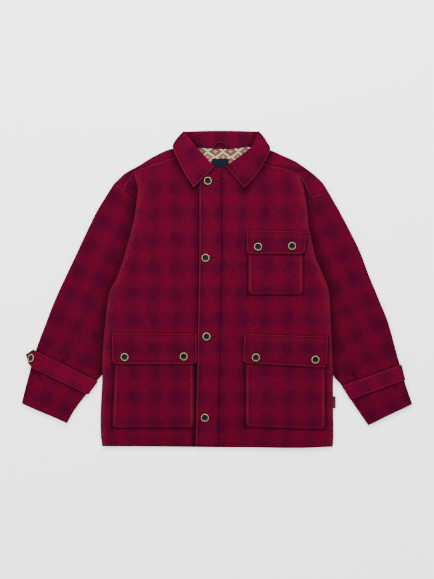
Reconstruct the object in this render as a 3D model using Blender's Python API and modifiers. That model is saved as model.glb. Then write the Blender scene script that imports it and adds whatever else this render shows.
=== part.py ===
"""A boxy hunting jacket of felted wool, buttoned up and laid flat on its back.

Sizes are in millimetres until they reach a mesh. +X is the wearer's left, +Y points to the
collar and +Z points up from the surface that the jacket lies on. The origin is at the middle
of its underside. Names that end in _r are on the wearer's right, those in _l on the left.
"""

from collections import namedtuple
from math import atan2, cos, hypot, pi, radians, sin

import bpy
import numpy as np
from mathutils import Matrix

MM = 0.001

# Cloth walls, and the gaps between pieces that are sewn or lie together
CLOTH = 3.0
TRIM_CLOTH = 2.4
SEAM_GAP = 0.3
SLIT = 3.4

# Heights of the upper faces, from the surface up
BACK_TOP = CLOTH
FRONT_TOP = BACK_TOP + SLIT + CLOTH
LAP_TOP = FRONT_TOP + 0.2
UNDERLAP_TOP = LAP_TOP - CLOTH - SEAM_GAP
TUCKED_TOP = FRONT_TOP - CLOTH - SEAM_GAP
SLEEVE_CLOTH = TUCKED_TOP - BACK_TOP - SEAM_GAP
FOLD_FOOT = BACK_TOP + 0.8
PLACKET_TOP = LAP_TOP + SEAM_GAP + 2.0
POCKET_WALL = 3.0
STAND_TOP = BACK_TOP + SEAM_GAP + TRIM_CLOTH
LINING_TOP = BACK_TOP + SEAM_GAP + 1.0
TAB_WALL = 2.2
TAB_TOP = FRONT_TOP + SEAM_GAP + TAB_WALL

# A folded edge: distance in from the edge, and its share of the whole drop
Roll = namedtuple("Roll", "inward share")
FOLDED_EDGE = (Roll(0.0, 1.0), Roll(0.4, 0.6), Roll(1.3, 0.22), Roll(3.6, 0.0))

At = namedtuple("At", "x y")
Side = namedtuple("Side", "y right left")
Box = namedtuple("Box", "left top right bottom")

# The body's folded sides, from the yoke seam down to the hem
BODY_SIDES = (
    Side(y=250, right=-197, left=216.5),
    Side(y=220, right=-200.5, left=221),
    Side(y=190, right=-204, left=226),
    Side(y=160, right=-210, left=228),
    Side(y=120, right=-221, left=236),
    Side(y=80, right=-231.5, left=245.5),
    Side(y=50, right=-242, left=258),
    Side(y=20, right=-254, left=271),
    Side(y=-5, right=-267.5, left=278.5),
    Side(y=-30, right=-272.5, left=281),
    Side(y=-90, right=-279, left=284),
    Side(y=-160, right=-285, left=287),
    Side(y=-215, right=-286, left=289.5),
    Side(y=-232, right=-286.5, left=289.5),
    Side(y=-310, right=-289, left=290),
)
HEM = {"r": At(-286, -391), "l": At(289, -392)}
HEM_MIDDLE = At(192, -395)

# Neck seam across the back, and the corner of each yoke at the neck
NECK_Y = 351
YOKE_NECK_X = {"r": -62, "l": 97}

# Folded shoulder lines, from the neck out to the sleeve
SHOULDER = {
    "r": (At(-111.5, 351), At(-157, 332), At(-193, 310), At(-229, 289.5), At(-244, 276), At(-257, 263.5)),
    "l": (At(134, 346.5), At(163, 334), At(196, 319), At(221, 302), At(243.5, 285), At(265, 264), At(279, 241)),
}
# Seams between yoke and front, from the neck out; the last rows run on beside the tucked front
YOKE_SEAM = {
    "r": (At(-62, 338), At(-99, 326.5), At(-128, 317), At(-162, 306), At(-196, 294.5), At(-208, 286)),
    "l": (At(97, 318.5), At(118.5, 310), At(132, 304), At(177, 295), At(195, 288.5), At(207, 280)),
}
YOKE_END = {
    "r": (At(-218, 271), At(-226.5, 258.5), At(-230, 246)),
    "l": (At(216, 266), At(227, 243), At(238, 228)),
}
# Armhole seams, from the shoulder to the end that is tucked under the front
ARMHOLE = {
    "r": (At(-257, 263.5), At(-240.5, 248), At(-230, 246), At(-213, 233), At(-189, 214)),
    "l": (At(279, 241), At(238, 228), At(226, 213), At(210, 200)),
}
# How far the sleeves and the tucked strips reach under the fronts
TUCK = 11.0

# Sleeve edges: outer from the shoulder down, inner from where it leaves the body, and cuff
SLEEVE_OUTER = {
    "r": (At(-257, 263.5), At(-279, 229), At(-303, 188.5), At(-360, 68.5), At(-404, -26.5),
          At(-428, -88), At(-452, -153), At(-475, -235.5), At(-487, -284)),
    "l": (At(279, 241), At(311, 187.5), At(357, 100), At(379.5, 36), At(403, -26.5),
          At(426, -80), At(447, -155), At(467, -226.5), At(487, -286)),
}
SLEEVE_INNER = {
    "r": (At(-286, -213), At(-300, -229), At(-325, -261), At(-354, -299), At(-374, -334)),
    "l": (At(289.5, -214), At(312, -241), At(332, -273.5), At(377, -339)),
}
CUFF = {
    "r": (At(-487, -284), At(-445, -306), At(-399.5, -323.5), At(-374, -334)),
    "l": (At(487, -286), At(467, -297), At(425.5, -316.5), At(377, -339)),
}

# Front edge of the front that laps over, from the neck down, and the reach of the underlap
LAP_EDGE = (At(-43.5, 300), At(-43.5, 260), At(-44, 73.5), At(-47, -93), At(-53, -391))
UNDERLAP = 48.0
UNDERLAP_LOW = 54.0
UNDERLAP_HIGH = 61.0
PLACKET = (
    At(-43.5, 302), At(11.5, 302), At(11.5, 73.5), At(8, -101.5), At(3, -388.5),
    At(-53, -388.5), At(-47, -93), At(-44, 73.5),
)
NECKLINE = {
    "r": (At(-38, 317), At(-16, 296)),
    "l": (At(64, 315), At(20, 302), At(-7, 302)),
}

# Collar: the rolled edge from the top down, the outer edge down to the point, and the back
COLLAR_ROLL = {
    "r": (At(-74, 383), At(-50, 354), At(-28, 329.5), At(-7, 305)),
    "l": (At(98, 378), At(84.5, 355), At(62, 336), At(39.5, 320), At(21, 307)),
}
COLLAR_OUTER = {
    "r": (At(-93, 383), At(-101, 373.5), At(-108, 362), At(-109.8, 355.5), At(-107, 343),
          At(-81, 289), At(-58, 253)),
    "l": (At(118, 378), At(128, 362), At(132, 355.5), At(133, 346), At(113, 307.5),
          At(91, 276), At(68, 252.5)),
}
COLLAR_FOLD = (At(-82, 392), At(-45, 394), At(-2, 395), At(50, 394.5), At(103, 392))
NECK_SEAM = (At(-56, 353), At(-11, 351), At(27, 349.5), At(90, 356))
COLLAR_BACK = (
    At(-110, 351), At(90, 351), At(131, 347), At(132.5, 353), At(121, 374), At(103, 392),
    At(50, 394.5), At(-2, 395), At(-45, 394), At(-82, 392), At(-101, 373.5), At(-109.5, 355),
)
LINING = (
    At(-56, 353), At(-34, 318.5), At(-13, 298), At(30, 298), At(60, 322), At(90, 356),
    At(27, 349.5), At(-11, 351),
)
NECK_LABEL = Box(left=-13, top=326, right=29, bottom=302.5)
SIDE_LABEL = Box(left=290.3, top=-266.5, right=296, bottom=-296)
LABEL_WALL = 1.0
LOOP_MIDDLE = At(8.75, 352)
LOOP_HALF_WIDTH = 18.0
LOOP_HEIGHT = 16.0
LOOP_STRIP = 4.8
LOOP_WALL = 1.2

# Pockets: four corners of the flap and of the bag under it, and the rise the front lies at
Pocket = namedtuple("Pocket", "name flap bag ground buttons")
POCKETS = (
    Pocket(
        name="pocket_r",
        flap=(At(-263, -109), At(-50, -111), At(-50, -186.5), At(-262, -186.5)),
        bag=(At(-258, -129), At(-56, -129), At(-56, -346), At(-262, -346)),
        ground=FRONT_TOP,
        buttons=(At(-231, -168.5), At(-83.5, -167)),
    ),
    Pocket(
        name="pocket_l",
        flap=(At(67, -111), At(276, -117.5), At(273.5, -194), At(65.5, -183)),
        bag=(At(70, -131), At(270, -137), At(270, -349), At(70, -342)),
        ground=LAP_TOP,
        buttons=(At(96.5, -169), At(244.5, -174.5)),
    ),
    Pocket(
        name="chest_pocket",
        flap=(At(74, 147), At(224, 143), At(217.5, 88), At(74, 88.5)),
        bag=(At(76.5, 126), At(214.5, 123), At(214.5, -13), At(76.5, -13)),
        ground=LAP_TOP,
        buttons=(At(102, 106), At(186.5, 108)),
    ),
)
CORNER_RADIUS = 9.5
FLAP_FLAT = 6.0
FLAP_RAMP = 12.0

# Buttons
BUTTON_WIDTH = 20.5
BUTTON_HEIGHT = 3.6
BUTTON_DISH = 1.5
BUTTON_SIDES = 18
FRONT_BUTTONS = (At(-24, 271), At(-28.5, 78.5), At(-26, -117), At(-30, -319))

# Cuff tabs: the corners on the sleeve, and how they bend down past its edges
TAB_R_POINT = (At(-458.5, -151), At(-477.5, -163), At(-469, -187), At(-457, -201))
TAB_R_END = (At(-296.2, -229.6), At(-320.5, -262.5))
TAB_L_INNER = (At(308, -242.8), At(329, -277.4))
TAB_L_OUTER = (At(460.4, -186.2), At(471.2, -228.2))
TAB_FOOT = 0.9
TAB_SHELF = 2.7
TAB_CREST = 18.0
TAB_AT_EDGE = 15.9
TAB_SLOPE = 0.78
TAB_BUTTON = At(-464, -171.5)


def smooth(value):
    """Runs from 0 to 1 with level ends as value does."""
    value = min(1.0, max(0.0, value))
    return value * value * (3.0 - 2.0 * value)


def material(name, colour, roughness):
    made = bpy.data.materials.new(name)
    made.use_nodes = True
    shader = made.node_tree.nodes["Principled BSDF"]
    shader.inputs["Base Color"].default_value = (*colour, 1.0)
    shader.inputs["Roughness"].default_value = roughness
    shader.inputs["Metallic"].default_value = 0.0
    made.diffuse_color = (*colour, 1.0)
    return made


def clear_scene():
    for item in list(bpy.data.objects):
        bpy.data.objects.remove(item)


def collection(name):
    made = bpy.data.collections.new(name)
    bpy.context.scene.collection.children.link(made)
    return made


def new_piece(name, points, faces, finish, wall):
    """An open surface in millimetres, given its wall on the side away from its normals."""
    mesh = bpy.data.meshes.new(name)
    mesh.from_pydata([(x * MM, y * MM, z * MM) for x, y, z in points], [], faces)
    mesh.materials.append(finish)
    piece = bpy.data.objects.new(name, mesh)
    JACKET.objects.link(piece)
    shell = piece.modifiers.new("wall", "SOLIDIFY")
    shell.thickness = wall * MM
    shell.offset = -1.0
    shell.use_even_offset = True
    shell.use_quality_normals = True
    return piece


def signed_area(outline):
    ahead = outline[1:] + outline[:1]
    return sum(a[0] * b[1] - b[0] * a[1] for a, b in zip(outline, ahead)) / 2.0


def inset(outline, distance):
    """The closed outline with every side moved in by the distance."""
    turn = 1.0 if signed_area(outline) > 0 else -1.0
    moved = []
    for index, here in enumerate(outline):
        before = outline[index - 1]
        after = outline[(index + 1) % len(outline)]
        normals = []
        for start, end in ((before, here), (here, after)):
            length = hypot(end[0] - start[0], end[1] - start[1])
            normals.append((-turn * (end[1] - start[1]) / length, turn * (end[0] - start[0]) / length))
        (ax, ay), (bx, by) = normals
        spread = max(0.3, 1.0 + ax * bx + ay * by)
        moved.append((here[0] + distance * (ax + bx) / spread, here[1] + distance * (ay + by) / spread))
    return moved


def plate(name, outline, underside, wall, finish):
    """A flat piece of cloth cut to the outline, clear of its neighbours by half a seam gap."""
    outline = inset([tuple(point) for point in outline], SEAM_GAP / 2)
    if signed_area(outline) < 0:
        outline.reverse()
    points = [(x, y, underside + wall) for x, y in outline]
    return new_piece(name, points, [list(range(len(points)))], finish, wall)


def fractions(edge):
    """How far along the edge each of its points lies, from 0 to 1."""
    steps = [hypot(b[0] - a[0], b[1] - a[1]) for a, b in zip(edge, edge[1:])]
    return np.concatenate([[0.0], np.cumsum(steps)]) / sum(steps)


def along(edge, fraction):
    share = fractions(edge)
    x = np.interp(fraction, share, [point[0] for point in edge])
    y = np.interp(fraction, share, [point[1] for point in edge])
    return np.array([x, y])


def stations(kept, added, extra, nearest):
    """Places across a panel: each point of the kept edge, and others not too near to those."""
    found = list(fractions(kept))
    for value in list(fractions(added)) + list(extra):
        if min(abs(value - other) for other in found) > nearest:
            found.append(float(value))
    return sorted(found)


def panel(name, left, right, top, bottom, height, finish, wall, drops=(None, None), rows=(), columns=(),
          from_right=(), nearest=0.03):
    """A shaped piece of cloth between four edges.

    left and right run down, top and bottom run from left to right. height(x, y, u, v) is its
    upper face. drops holds a function for the left and the right edge, or None: how far that
    edge is folded down at a point of it. from_right holds distances in from the right edge
    that have a column of their own in every row.
    """
    loop = list(top) + list(right)[1:] + list(reversed(bottom))[1:] + list(reversed(left))[1:-1]
    loop = inset([tuple(point) for point in loop], SEAM_GAP / 2)
    ends = np.cumsum([len(top) - 1, len(right) - 1, len(bottom) - 1])
    top = loop[: ends[0] + 1]
    right = loop[ends[0]: ends[1] + 1]
    bottom = loop[ends[1]: ends[2] + 1][::-1]
    left = (loop[ends[2]:] + loop[:1])[::-1]
    down = stations(left if len(left) > len(right) else right, right if len(left) > len(right) else left,
                    rows, nearest)
    slimmest = min(hypot(*(along(right, v) - along(left, v))) for v in down)
    last = 1.0 - (from_right[0] + 6.0) / slimmest if from_right else 0.96
    across = [u for u in stations(top, bottom, columns, nearest) if 0.04 < u < last]
    points = []
    for v in down:
        start, end = along(left, v), along(right, v)
        width = hypot(*(end - start))
        narrow = min(1.0, 0.4 * width / FOLDED_EDGE[-1].inward)
        folds = [narrow * roll.inward / width for roll in FOLDED_EDGE]
        line = [(u, 0, roll.share) for u, roll in zip(folds, FOLDED_EDGE)] if drops[0] else [(0.0, 0, 0.0)]
        line += [(u, 0, 0.0) for u in across + [1.0 - reach / width for reach in from_right]]
        if drops[1]:
            line += [(1.0 - u, 1, roll.share) for u, roll in zip(folds[::-1], FOLDED_EDGE[::-1])]
        else:
            line.append((1.0, 1, 0.0))
        for u, side, share in line:
            place = (1 - u) * start + u * end
            place = place + (1 - v) * (along(top, u) - (1 - u) * np.array(top[0]) - u * np.array(top[-1]))
            place = place + v * (along(bottom, u) - (1 - u) * np.array(bottom[0]) - u * np.array(bottom[-1]))
            x, y = float(place[0]), float(place[1])
            edge = end if side else start
            drop = share * drops[side](float(edge[0]), float(edge[1])) if drops[side] else 0.0
            points.append((x, y, height(x, y, u, v) - drop))
    wide = len(points) // len(down)
    faces = [
        [row * wide + column, (row + 1) * wide + column, (row + 1) * wide + column + 1, row * wide + column + 1]
        for row in range(len(down) - 1)
        for column in range(wide - 1)
    ]
    corners = [points[index][:2] for index in faces[0]]
    if signed_area(corners) < 0:
        faces = [face[::-1] for face in faces]
    return new_piece(name, points, faces, finish, wall)


def level(top):
    return lambda x, y, u, v: top


def side_points(side, low=-999, high=999, shift=0.0):
    """Points down one of the body's sides, moved towards the middle by the shift."""
    key = "right" if side == "r" else "left"
    inward = shift if side == "r" else -shift
    return [At(getattr(row, key) + inward, row.y) for row in BODY_SIDES if low < row.y < high]


def hidden_edge(side):
    """The line under a front where back and sleeve meet, down to where the sleeve comes out."""
    return side_points(side, low=-170, high=195, shift=TUCK)


def make_back(wool):
    outline = [At(YOKE_NECK_X["r"], NECK_Y), At(90, NECK_Y)]
    outline += SHOULDER["l"]
    for side in ("l", "r"):
        run = list(ARMHOLE[side])[1:] + hidden_edge(side) + [SLEEVE_INNER[side][0]]
        run += side_points(side, high=-220) + [HEM[side]]
        outline += run if side == "l" else [HEM_MIDDLE] + run[::-1]
    outline += SHOULDER["r"][::-1]
    plate("back", outline, 0.0, CLOTH, wool)


def fold_down(top, foot, from_y, to_y):
    """A side that is folded down below from_y, wholly so from to_y on."""
    return lambda x, y: (top - foot) * smooth((from_y - y) / (from_y - to_y))


def make_fronts(wool):
    inner = [At(point.x + UNDERLAP, point.y) for point in LAP_EDGE]
    inner[0] = At(inner[0].x, NECKLINE["r"][-1].y)
    side = [YOKE_SEAM["r"][-1]] + side_points("r") + [HEM["r"]]

    def right_height(x, y, u, v):
        edge = np.interp(-y, [-point.y for point in inner], [point.x for point in inner])
        reach = edge - x
        dip = smooth((UNDERLAP_HIGH - reach) / (UNDERLAP_HIGH - UNDERLAP_LOW))
        return FRONT_TOP - (FRONT_TOP - UNDERLAP_TOP) * dip

    panel(
        "front_r",
        left=side,
        right=inner,
        top=list(YOKE_SEAM["r"][::-1]) + list(NECKLINE["r"]) + [inner[0]],
        bottom=[HEM["r"], inner[-1]],
        height=right_height,
        finish=wool,
        wall=CLOTH,
        drops=(fold_down(FRONT_TOP, FOLD_FOOT, -215, -232), None),
        from_right=(UNDERLAP_HIGH, UNDERLAP_LOW, 0.85 * UNDERLAP_LOW, 0.37 * UNDERLAP_LOW),
        nearest=0.015,
    )
    side = [YOKE_SEAM["l"][-1]] + side_points("l") + [HEM["l"]]
    panel(
        "front_l",
        left=LAP_EDGE,
        right=side,
        top=[LAP_EDGE[0]] + list(NECKLINE["l"][::-1]) + list(YOKE_SEAM["l"]),
        bottom=[LAP_EDGE[-1], HEM_MIDDLE, HEM["l"]],
        height=level(LAP_TOP),
        finish=wool,
        wall=CLOTH,
        drops=(None, fold_down(LAP_TOP, FOLD_FOOT, -215, -232)),
        nearest=0.02,
    )
    plate("placket", PLACKET, LAP_TOP + SEAM_GAP, PLACKET_TOP - LAP_TOP - SEAM_GAP, wool)


def make_yokes(wool):
    for side, neck_x in YOKE_NECK_X.items():
        inward = 1 if side == "r" else -1
        neck = At(neck_x, NECK_Y)
        seam = list(YOKE_SEAM[side]) + list(YOKE_END[side])
        armhole = list(ARMHOLE[side][:3 if side == "r" else 2])
        shoulder_end = At(armhole[0].x + 2 * SEAM_GAP * inward, armhole[0].y + 2 * SEAM_GAP)
        panel(
            f"yoke_{side}",
            left=[neck] + list(SHOULDER[side][:-1]) + [shoulder_end],
            right=seam,
            top=[neck, seam[0]],
            bottom=[shoulder_end] + armhole[1:],
            height=level(FRONT_TOP),
            finish=wool,
            wall=CLOTH,
            drops=(lambda x, y: FRONT_TOP - FOLD_FOOT, None),
            nearest=0.004,
        )
        under = side_points(side, low=200, shift=TUCK)
        seam_end = YOKE_END[side][-1]
        armhole = [At(point.x, point.y + 2 * SEAM_GAP) for point in ARMHOLE[side][-2:]]
        armhole.insert(0, At(seam_end.x + 2 * SEAM_GAP * inward, seam_end.y))
        start = At(YOKE_SEAM[side][-1].x + 9 * inward, YOKE_SEAM[side][-1].y - 2)
        outer = At(*along(YOKE_END[side], 1.0 - 5.0 / hypot(YOKE_END[side][0].x - YOKE_END[side][-1].x,
                                                          YOKE_END[side][0].y - YOKE_END[side][-1].y)))
        panel(
            f"front_tuck_{side}",
            left=[outer, armhole[0]],
            right=[start] + under + [armhole[-1]],
            top=[outer] + list(YOKE_END[side][-2::-1]) + [YOKE_SEAM[side][-1], start],
            bottom=armhole,
            height=level(TUCKED_TOP),
            finish=wool,
            wall=SLEEVE_CLOTH,
            nearest=0.02,
        )


def make_sleeves(wool):
    low_from, full_from = 0.80, 0.60
    for side in ("r", "l"):
        inner = [ARMHOLE[side][-1]] + hidden_edge(side) + list(SLEEVE_INNER[side])
        outer = SLEEVE_OUTER[side]
        leaves_at = SLEEVE_INNER[side][0].y

        def height(x, y, u, v, inner=inner, leaves_at=leaves_at):
            squeezed = 1.0 - smooth((leaves_at - along(inner, v)[1]) / 12.0)
            squeezed *= smooth((u - full_from) / (low_from - full_from))
            return FRONT_TOP - (FRONT_TOP - TUCKED_TOP) * squeezed

        panel(
            f"sleeve_{side}_top",
            left=outer,
            right=inner,
            top=ARMHOLE[side],
            bottom=CUFF[side],
            height=height,
            finish=wool,
            wall=SLEEVE_CLOTH,
            drops=(lambda x, y: FRONT_TOP - FOLD_FOOT,
                   fold_down(FRONT_TOP, FOLD_FOOT, leaves_at - 4, leaves_at - 12)),
            columns=(full_from, (full_from + low_from) / 2, low_from),
        )
        outline = list(ARMHOLE[side]) + inner[1:] + list(CUFF[side][-2::-1]) + list(outer[-2:0:-1])
        plate(f"sleeve_{side}_under", outline, 0.0, CLOTH, wool)


def make_collar(wool):
    plate("collar_back", COLLAR_BACK, 0.0, TRIM_CLOTH, wool)
    panel(
        "collar_stand",
        left=COLLAR_FOLD,
        right=NECK_SEAM,
        top=[COLLAR_FOLD[0], At(-75, 384), NECK_SEAM[0]],
        bottom=[COLLAR_FOLD[-1], At(99, 382), NECK_SEAM[-1]],
        height=level(STAND_TOP),
        finish=wool,
        wall=TRIM_CLOTH,
        drops=(lambda x, y: 2.2, None),
        nearest=0.01,
    )
    for side in ("r", "l"):
        roll, outer = COLLAR_ROLL[side], COLLAR_OUTER[side]
        ground = FRONT_TOP if side == "r" else LAP_TOP

        def height(x, y, u, v, side=side, ground=ground):
            top = ground + SEAM_GAP + TRIM_CLOTH
            over_placket = PLACKET_TOP - FRONT_TOP if side == "r" else 0.0
            top += over_placket * smooth((x + 95) / 35)
            return top - 3.3 * smooth((y - 353) / 28)

        def roll_drop(x, y, height=height):
            lowest = STAND_TOP + 0.7
            return (height(x, y, 0, 0) - lowest) * smooth((y - 306) / 14)

        def outer_drop(x, y, height=height):
            return (height(x, y, 0, 0) - 3.3) * smooth((y - 355.4) / 6)

        first, second = (outer, roll) if side == "r" else (roll, outer)
        panel(
            f"collar_leaf_{side}",
            left=first,
            right=second,
            top=[first[0], second[0]],
            bottom=[first[-1], second[-1]],
            height=height,
            finish=wool,
            wall=TRIM_CLOTH,
            drops=(outer_drop, roll_drop) if side == "r" else (roll_drop, outer_drop),
            rows=(0.9,),
            columns=(0.3, 0.5, 0.7),
            nearest=0.02,
        )


def make_neck_trim(lining, label, loop):
    plate("lining_neck", LINING, BACK_TOP + SEAM_GAP, LINING_TOP - BACK_TOP - SEAM_GAP, lining)
    for name, box, underside in (
        ("neck_label", NECK_LABEL, LINING_TOP + SEAM_GAP),
        ("side_label", SIDE_LABEL, BACK_TOP + SEAM_GAP + 1.0),
    ):
        corners = (At(box.left, box.top), At(box.right, box.top), At(box.right, box.bottom), At(box.left, box.bottom))
        plate(name, corners, underside, LABEL_WALL, label)

    def arch(grow):
        steps = [pi * step / 12 for step in range(13)]
        wide, high = LOOP_HALF_WIDTH + grow, LOOP_HEIGHT + grow
        return [At(LOOP_MIDDLE.x - wide * cos(a), LOOP_MIDDLE.y + high * sin(a)) for a in steps]

    outer, inner = arch(LOOP_STRIP / 2), arch(-LOOP_STRIP / 2)
    panel(
        "hanger_loop",
        left=outer,
        right=inner,
        top=[outer[0], inner[0]],
        bottom=[outer[-1], inner[-1]],
        height=level(STAND_TOP + SEAM_GAP + LOOP_WALL),
        finish=loop,
        wall=LOOP_WALL,
    )


def rounded(before, corner, after, radius):
    """Points of an arc that cuts the corner, three steps long."""
    def toward(other):
        length = hypot(other.x - corner.x, other.y - corner.y)
        return ((other.x - corner.x) / length, (other.y - corner.y) / length)

    (ax, ay), (bx, by) = toward(before), toward(after)
    middle = At(corner.x + radius * (ax + bx), corner.y + radius * (ay + by))
    points = []
    for step in range(4):
        turn = radians(30 * step)
        points.append(At(middle.x - radius * (bx * cos(turn) + ax * sin(turn)),
                         middle.y - radius * (by * cos(turn) + ay * sin(turn))))
    return points


def make_pockets(wool):
    for pocket in POCKETS:
        top_left, top_right, low_right, low_left = pocket.bag
        outline = [top_left, top_right]
        outline += rounded(top_right, low_right, low_left, CORNER_RADIUS)
        outline += rounded(low_right, low_left, top_left, CORNER_RADIUS)
        plate(pocket.name, outline, pocket.ground + SEAM_GAP, POCKET_WALL, wool)

        top_left, top_right, low_right, low_left = pocket.flap
        left_arc = rounded(top_left, low_left, low_right, CORNER_RADIUS)
        right_arc = rounded(low_left, low_right, top_right, CORNER_RADIUS)
        deep = top_left.y - low_left.y

        def height(x, y, u, v, pocket=pocket, deep=deep):
            rise = smooth((v * deep - FLAP_FLAT) / FLAP_RAMP)
            return pocket.ground + SEAM_GAP + TRIM_CLOTH + (POCKET_WALL + SEAM_GAP) * rise

        panel(
            f"{pocket.name}_flap",
            left=[top_left, left_arc[0]],
            right=[top_right, right_arc[-1]],
            top=[top_left, top_right],
            bottom=left_arc + right_arc,
            height=height,
            finish=wool,
            wall=TRIM_CLOTH,
            rows=(FLAP_FLAT / deep, (FLAP_FLAT + FLAP_RAMP / 2) / deep, (FLAP_FLAT + FLAP_RAMP) / deep),
            nearest=0.01,
        )


def beyond_sleeve(x, y):
    """How far a point lies outside the right sleeve's outer edge, at the cuff."""
    upper, lower = SLEEVE_OUTER["r"][-3], SLEEVE_OUTER["r"][-2]
    length = hypot(lower.x - upper.x, lower.y - upper.y)
    return ((x - upper.x) * (lower.y - upper.y) - (y - upper.y) * (lower.x - upper.x)) / length


def make_cuff_tabs(wool):
    def sloping(x, y, u, v):
        past = beyond_sleeve(x, y)
        slope = TAB_AT_EDGE - TAB_SLOPE * past
        crest = TAB_TOP + (TAB_CREST - TAB_TOP) * smooth((past + 34) / 26)
        return max(TAB_SHELF, min(crest, slope))

    upper = [TAB_R_POINT[0], TAB_R_END[0]]
    lower = [TAB_R_POINT[-1], TAB_R_END[-1]]
    panel(
        "cuff_tab_r",
        left=TAB_R_POINT,
        right=TAB_R_END,
        top=upper,
        bottom=lower,
        height=sloping,
        finish=wool,
        wall=TAB_WALL,
        drops=(None, lambda x, y: TAB_TOP - TAB_FOOT),
        rows=(0.12, 0.28, 0.42, 0.56, 0.7, 0.84),
        columns=(0.03, 0.06, 0.09, 0.12, 0.15, 0.18, 0.26),
        nearest=0.02,
    )
    panel(
        "cuff_tab_l",
        left=TAB_L_INNER,
        right=TAB_L_OUTER,
        top=[TAB_L_INNER[0], TAB_L_OUTER[0]],
        bottom=[TAB_L_INNER[1], TAB_L_OUTER[1]],
        height=level(TAB_TOP),
        finish=wool,
        wall=TAB_WALL,
        drops=(lambda x, y: TAB_TOP - TAB_FOOT, lambda x, y: TAB_TOP - TAB_FOOT),
        columns=(0.3, 0.6),
    )


def button(name, place, base, finish, tilt=None):
    """A turned button: flat below, with a raised rim round a dished middle."""
    radius = BUTTON_WIDTH / 2
    profile = (
        (0.0, BUTTON_HEIGHT - BUTTON_DISH),
        (0.45 * radius, BUTTON_HEIGHT - BUTTON_DISH + 0.1),
        (0.70 * radius, BUTTON_HEIGHT - 0.3),
        (0.84 * radius, BUTTON_HEIGHT),
        (radius, 0.62 * BUTTON_HEIGHT),
        (0.9 * radius, 0.2 * BUTTON_HEIGHT),
        (0.7 * radius, 0.0),
        (0.0, 0.0),
    )
    mesh = bpy.data.meshes.new(name)
    edges = [(index, index + 1) for index in range(len(profile) - 1)]
    mesh.from_pydata([(r * MM, 0.0, z * MM) for r, z in profile], edges, [])
    mesh.materials.append(finish)
    piece = bpy.data.objects.new(name, mesh)
    JACKET.objects.link(piece)
    turn = piece.modifiers.new("turned", "SCREW")
    turn.steps = BUTTON_SIDES
    turn.render_steps = BUTTON_SIDES
    turn.use_merge_vertices = True
    turn.merge_threshold = 0.00001
    matrix = Matrix.Translation((place.x * MM, place.y * MM, base * MM))
    if tilt is not None:
        matrix = matrix @ tilt
    piece.matrix_world = matrix
    return piece


def make_buttons(horn):
    for number, place in enumerate(FRONT_BUTTONS, start=1):
        button(f"button_front_{number}", place, PLACKET_TOP + SEAM_GAP, horn)
    for pocket in POCKETS:
        flap_top = pocket.ground + SEAM_GAP + POCKET_WALL + SEAM_GAP + TRIM_CLOTH
        for number, place in enumerate(pocket.buttons, start=1):
            button(f"button_{pocket.name}_{number}", place, flap_top + SEAM_GAP, horn)
    upper, lower = SLEEVE_OUTER["r"][-3], SLEEVE_OUTER["r"][-2]
    heading = atan2(lower.y - upper.y, lower.x - upper.x)
    lean = np.arctan(TAB_SLOPE)
    tilt = Matrix.Rotation(heading, 4, "Z") @ Matrix.Rotation(lean, 4, "X")
    past = beyond_sleeve(TAB_BUTTON.x, TAB_BUTTON.y)
    lift = 3 * SEAM_GAP / cos(lean)
    button("button_cuff_tab", TAB_BUTTON, TAB_AT_EDGE - TAB_SLOPE * past + lift, horn, tilt)


clear_scene()
JACKET = collection("hunting_jacket")
WOOL = material("wool_check", (0.115, 0.008, 0.022), 0.95)
LINING_CLOTH = material("lining_cloth", (0.05, 0.03, 0.02), 0.7)
LABEL_CLOTH = material("label_cloth", (0.012, 0.014, 0.03), 0.7)
LOOP_CLOTH = material("loop_cloth", (0.09, 0.012, 0.022), 0.8)
BUTTON_BLACK = material("button_black", (0.008, 0.008, 0.009), 0.3)

make_back(WOOL)
make_fronts(WOOL)
make_yokes(WOOL)
make_sleeves(WOOL)
make_collar(WOOL)
make_neck_trim(LINING_CLOTH, LABEL_CLOTH, LOOP_CLOTH)
make_pockets(WOOL)
make_cuff_tabs(WOOL)
make_buttons(BUTTON_BLACK)
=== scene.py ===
"""The looks of a boxy hunting jacket of felted wool, buttoned up and laid flat on its back.

Tables are in millimetres and a mesh is written in metres. +X is the wearer's left, +Y points to
the collar and +Z points up from the floor. Names that end in _r are on the wearer's right.
"""

from collections import namedtuple
from math import atan2, cos, hypot, pi, radians, sin

import bpy
import numpy as np
from mathutils import Matrix, Vector


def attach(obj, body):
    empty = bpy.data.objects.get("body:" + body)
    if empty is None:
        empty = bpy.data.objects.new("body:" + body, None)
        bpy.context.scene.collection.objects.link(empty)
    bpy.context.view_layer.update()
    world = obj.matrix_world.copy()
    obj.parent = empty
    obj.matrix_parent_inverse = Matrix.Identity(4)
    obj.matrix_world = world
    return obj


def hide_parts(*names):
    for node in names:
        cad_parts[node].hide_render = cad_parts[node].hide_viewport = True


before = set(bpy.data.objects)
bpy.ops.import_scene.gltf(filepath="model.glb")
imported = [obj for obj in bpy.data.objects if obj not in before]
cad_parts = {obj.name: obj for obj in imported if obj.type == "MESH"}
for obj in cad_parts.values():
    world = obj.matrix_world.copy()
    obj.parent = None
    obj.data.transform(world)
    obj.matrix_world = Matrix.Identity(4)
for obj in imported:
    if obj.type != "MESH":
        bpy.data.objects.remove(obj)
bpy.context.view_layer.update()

MM = 0.001
At = namedtuple("At", "x y")
Side = namedtuple("Side", "y right left")
Box = namedtuple("Box", "left top right bottom")

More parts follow.
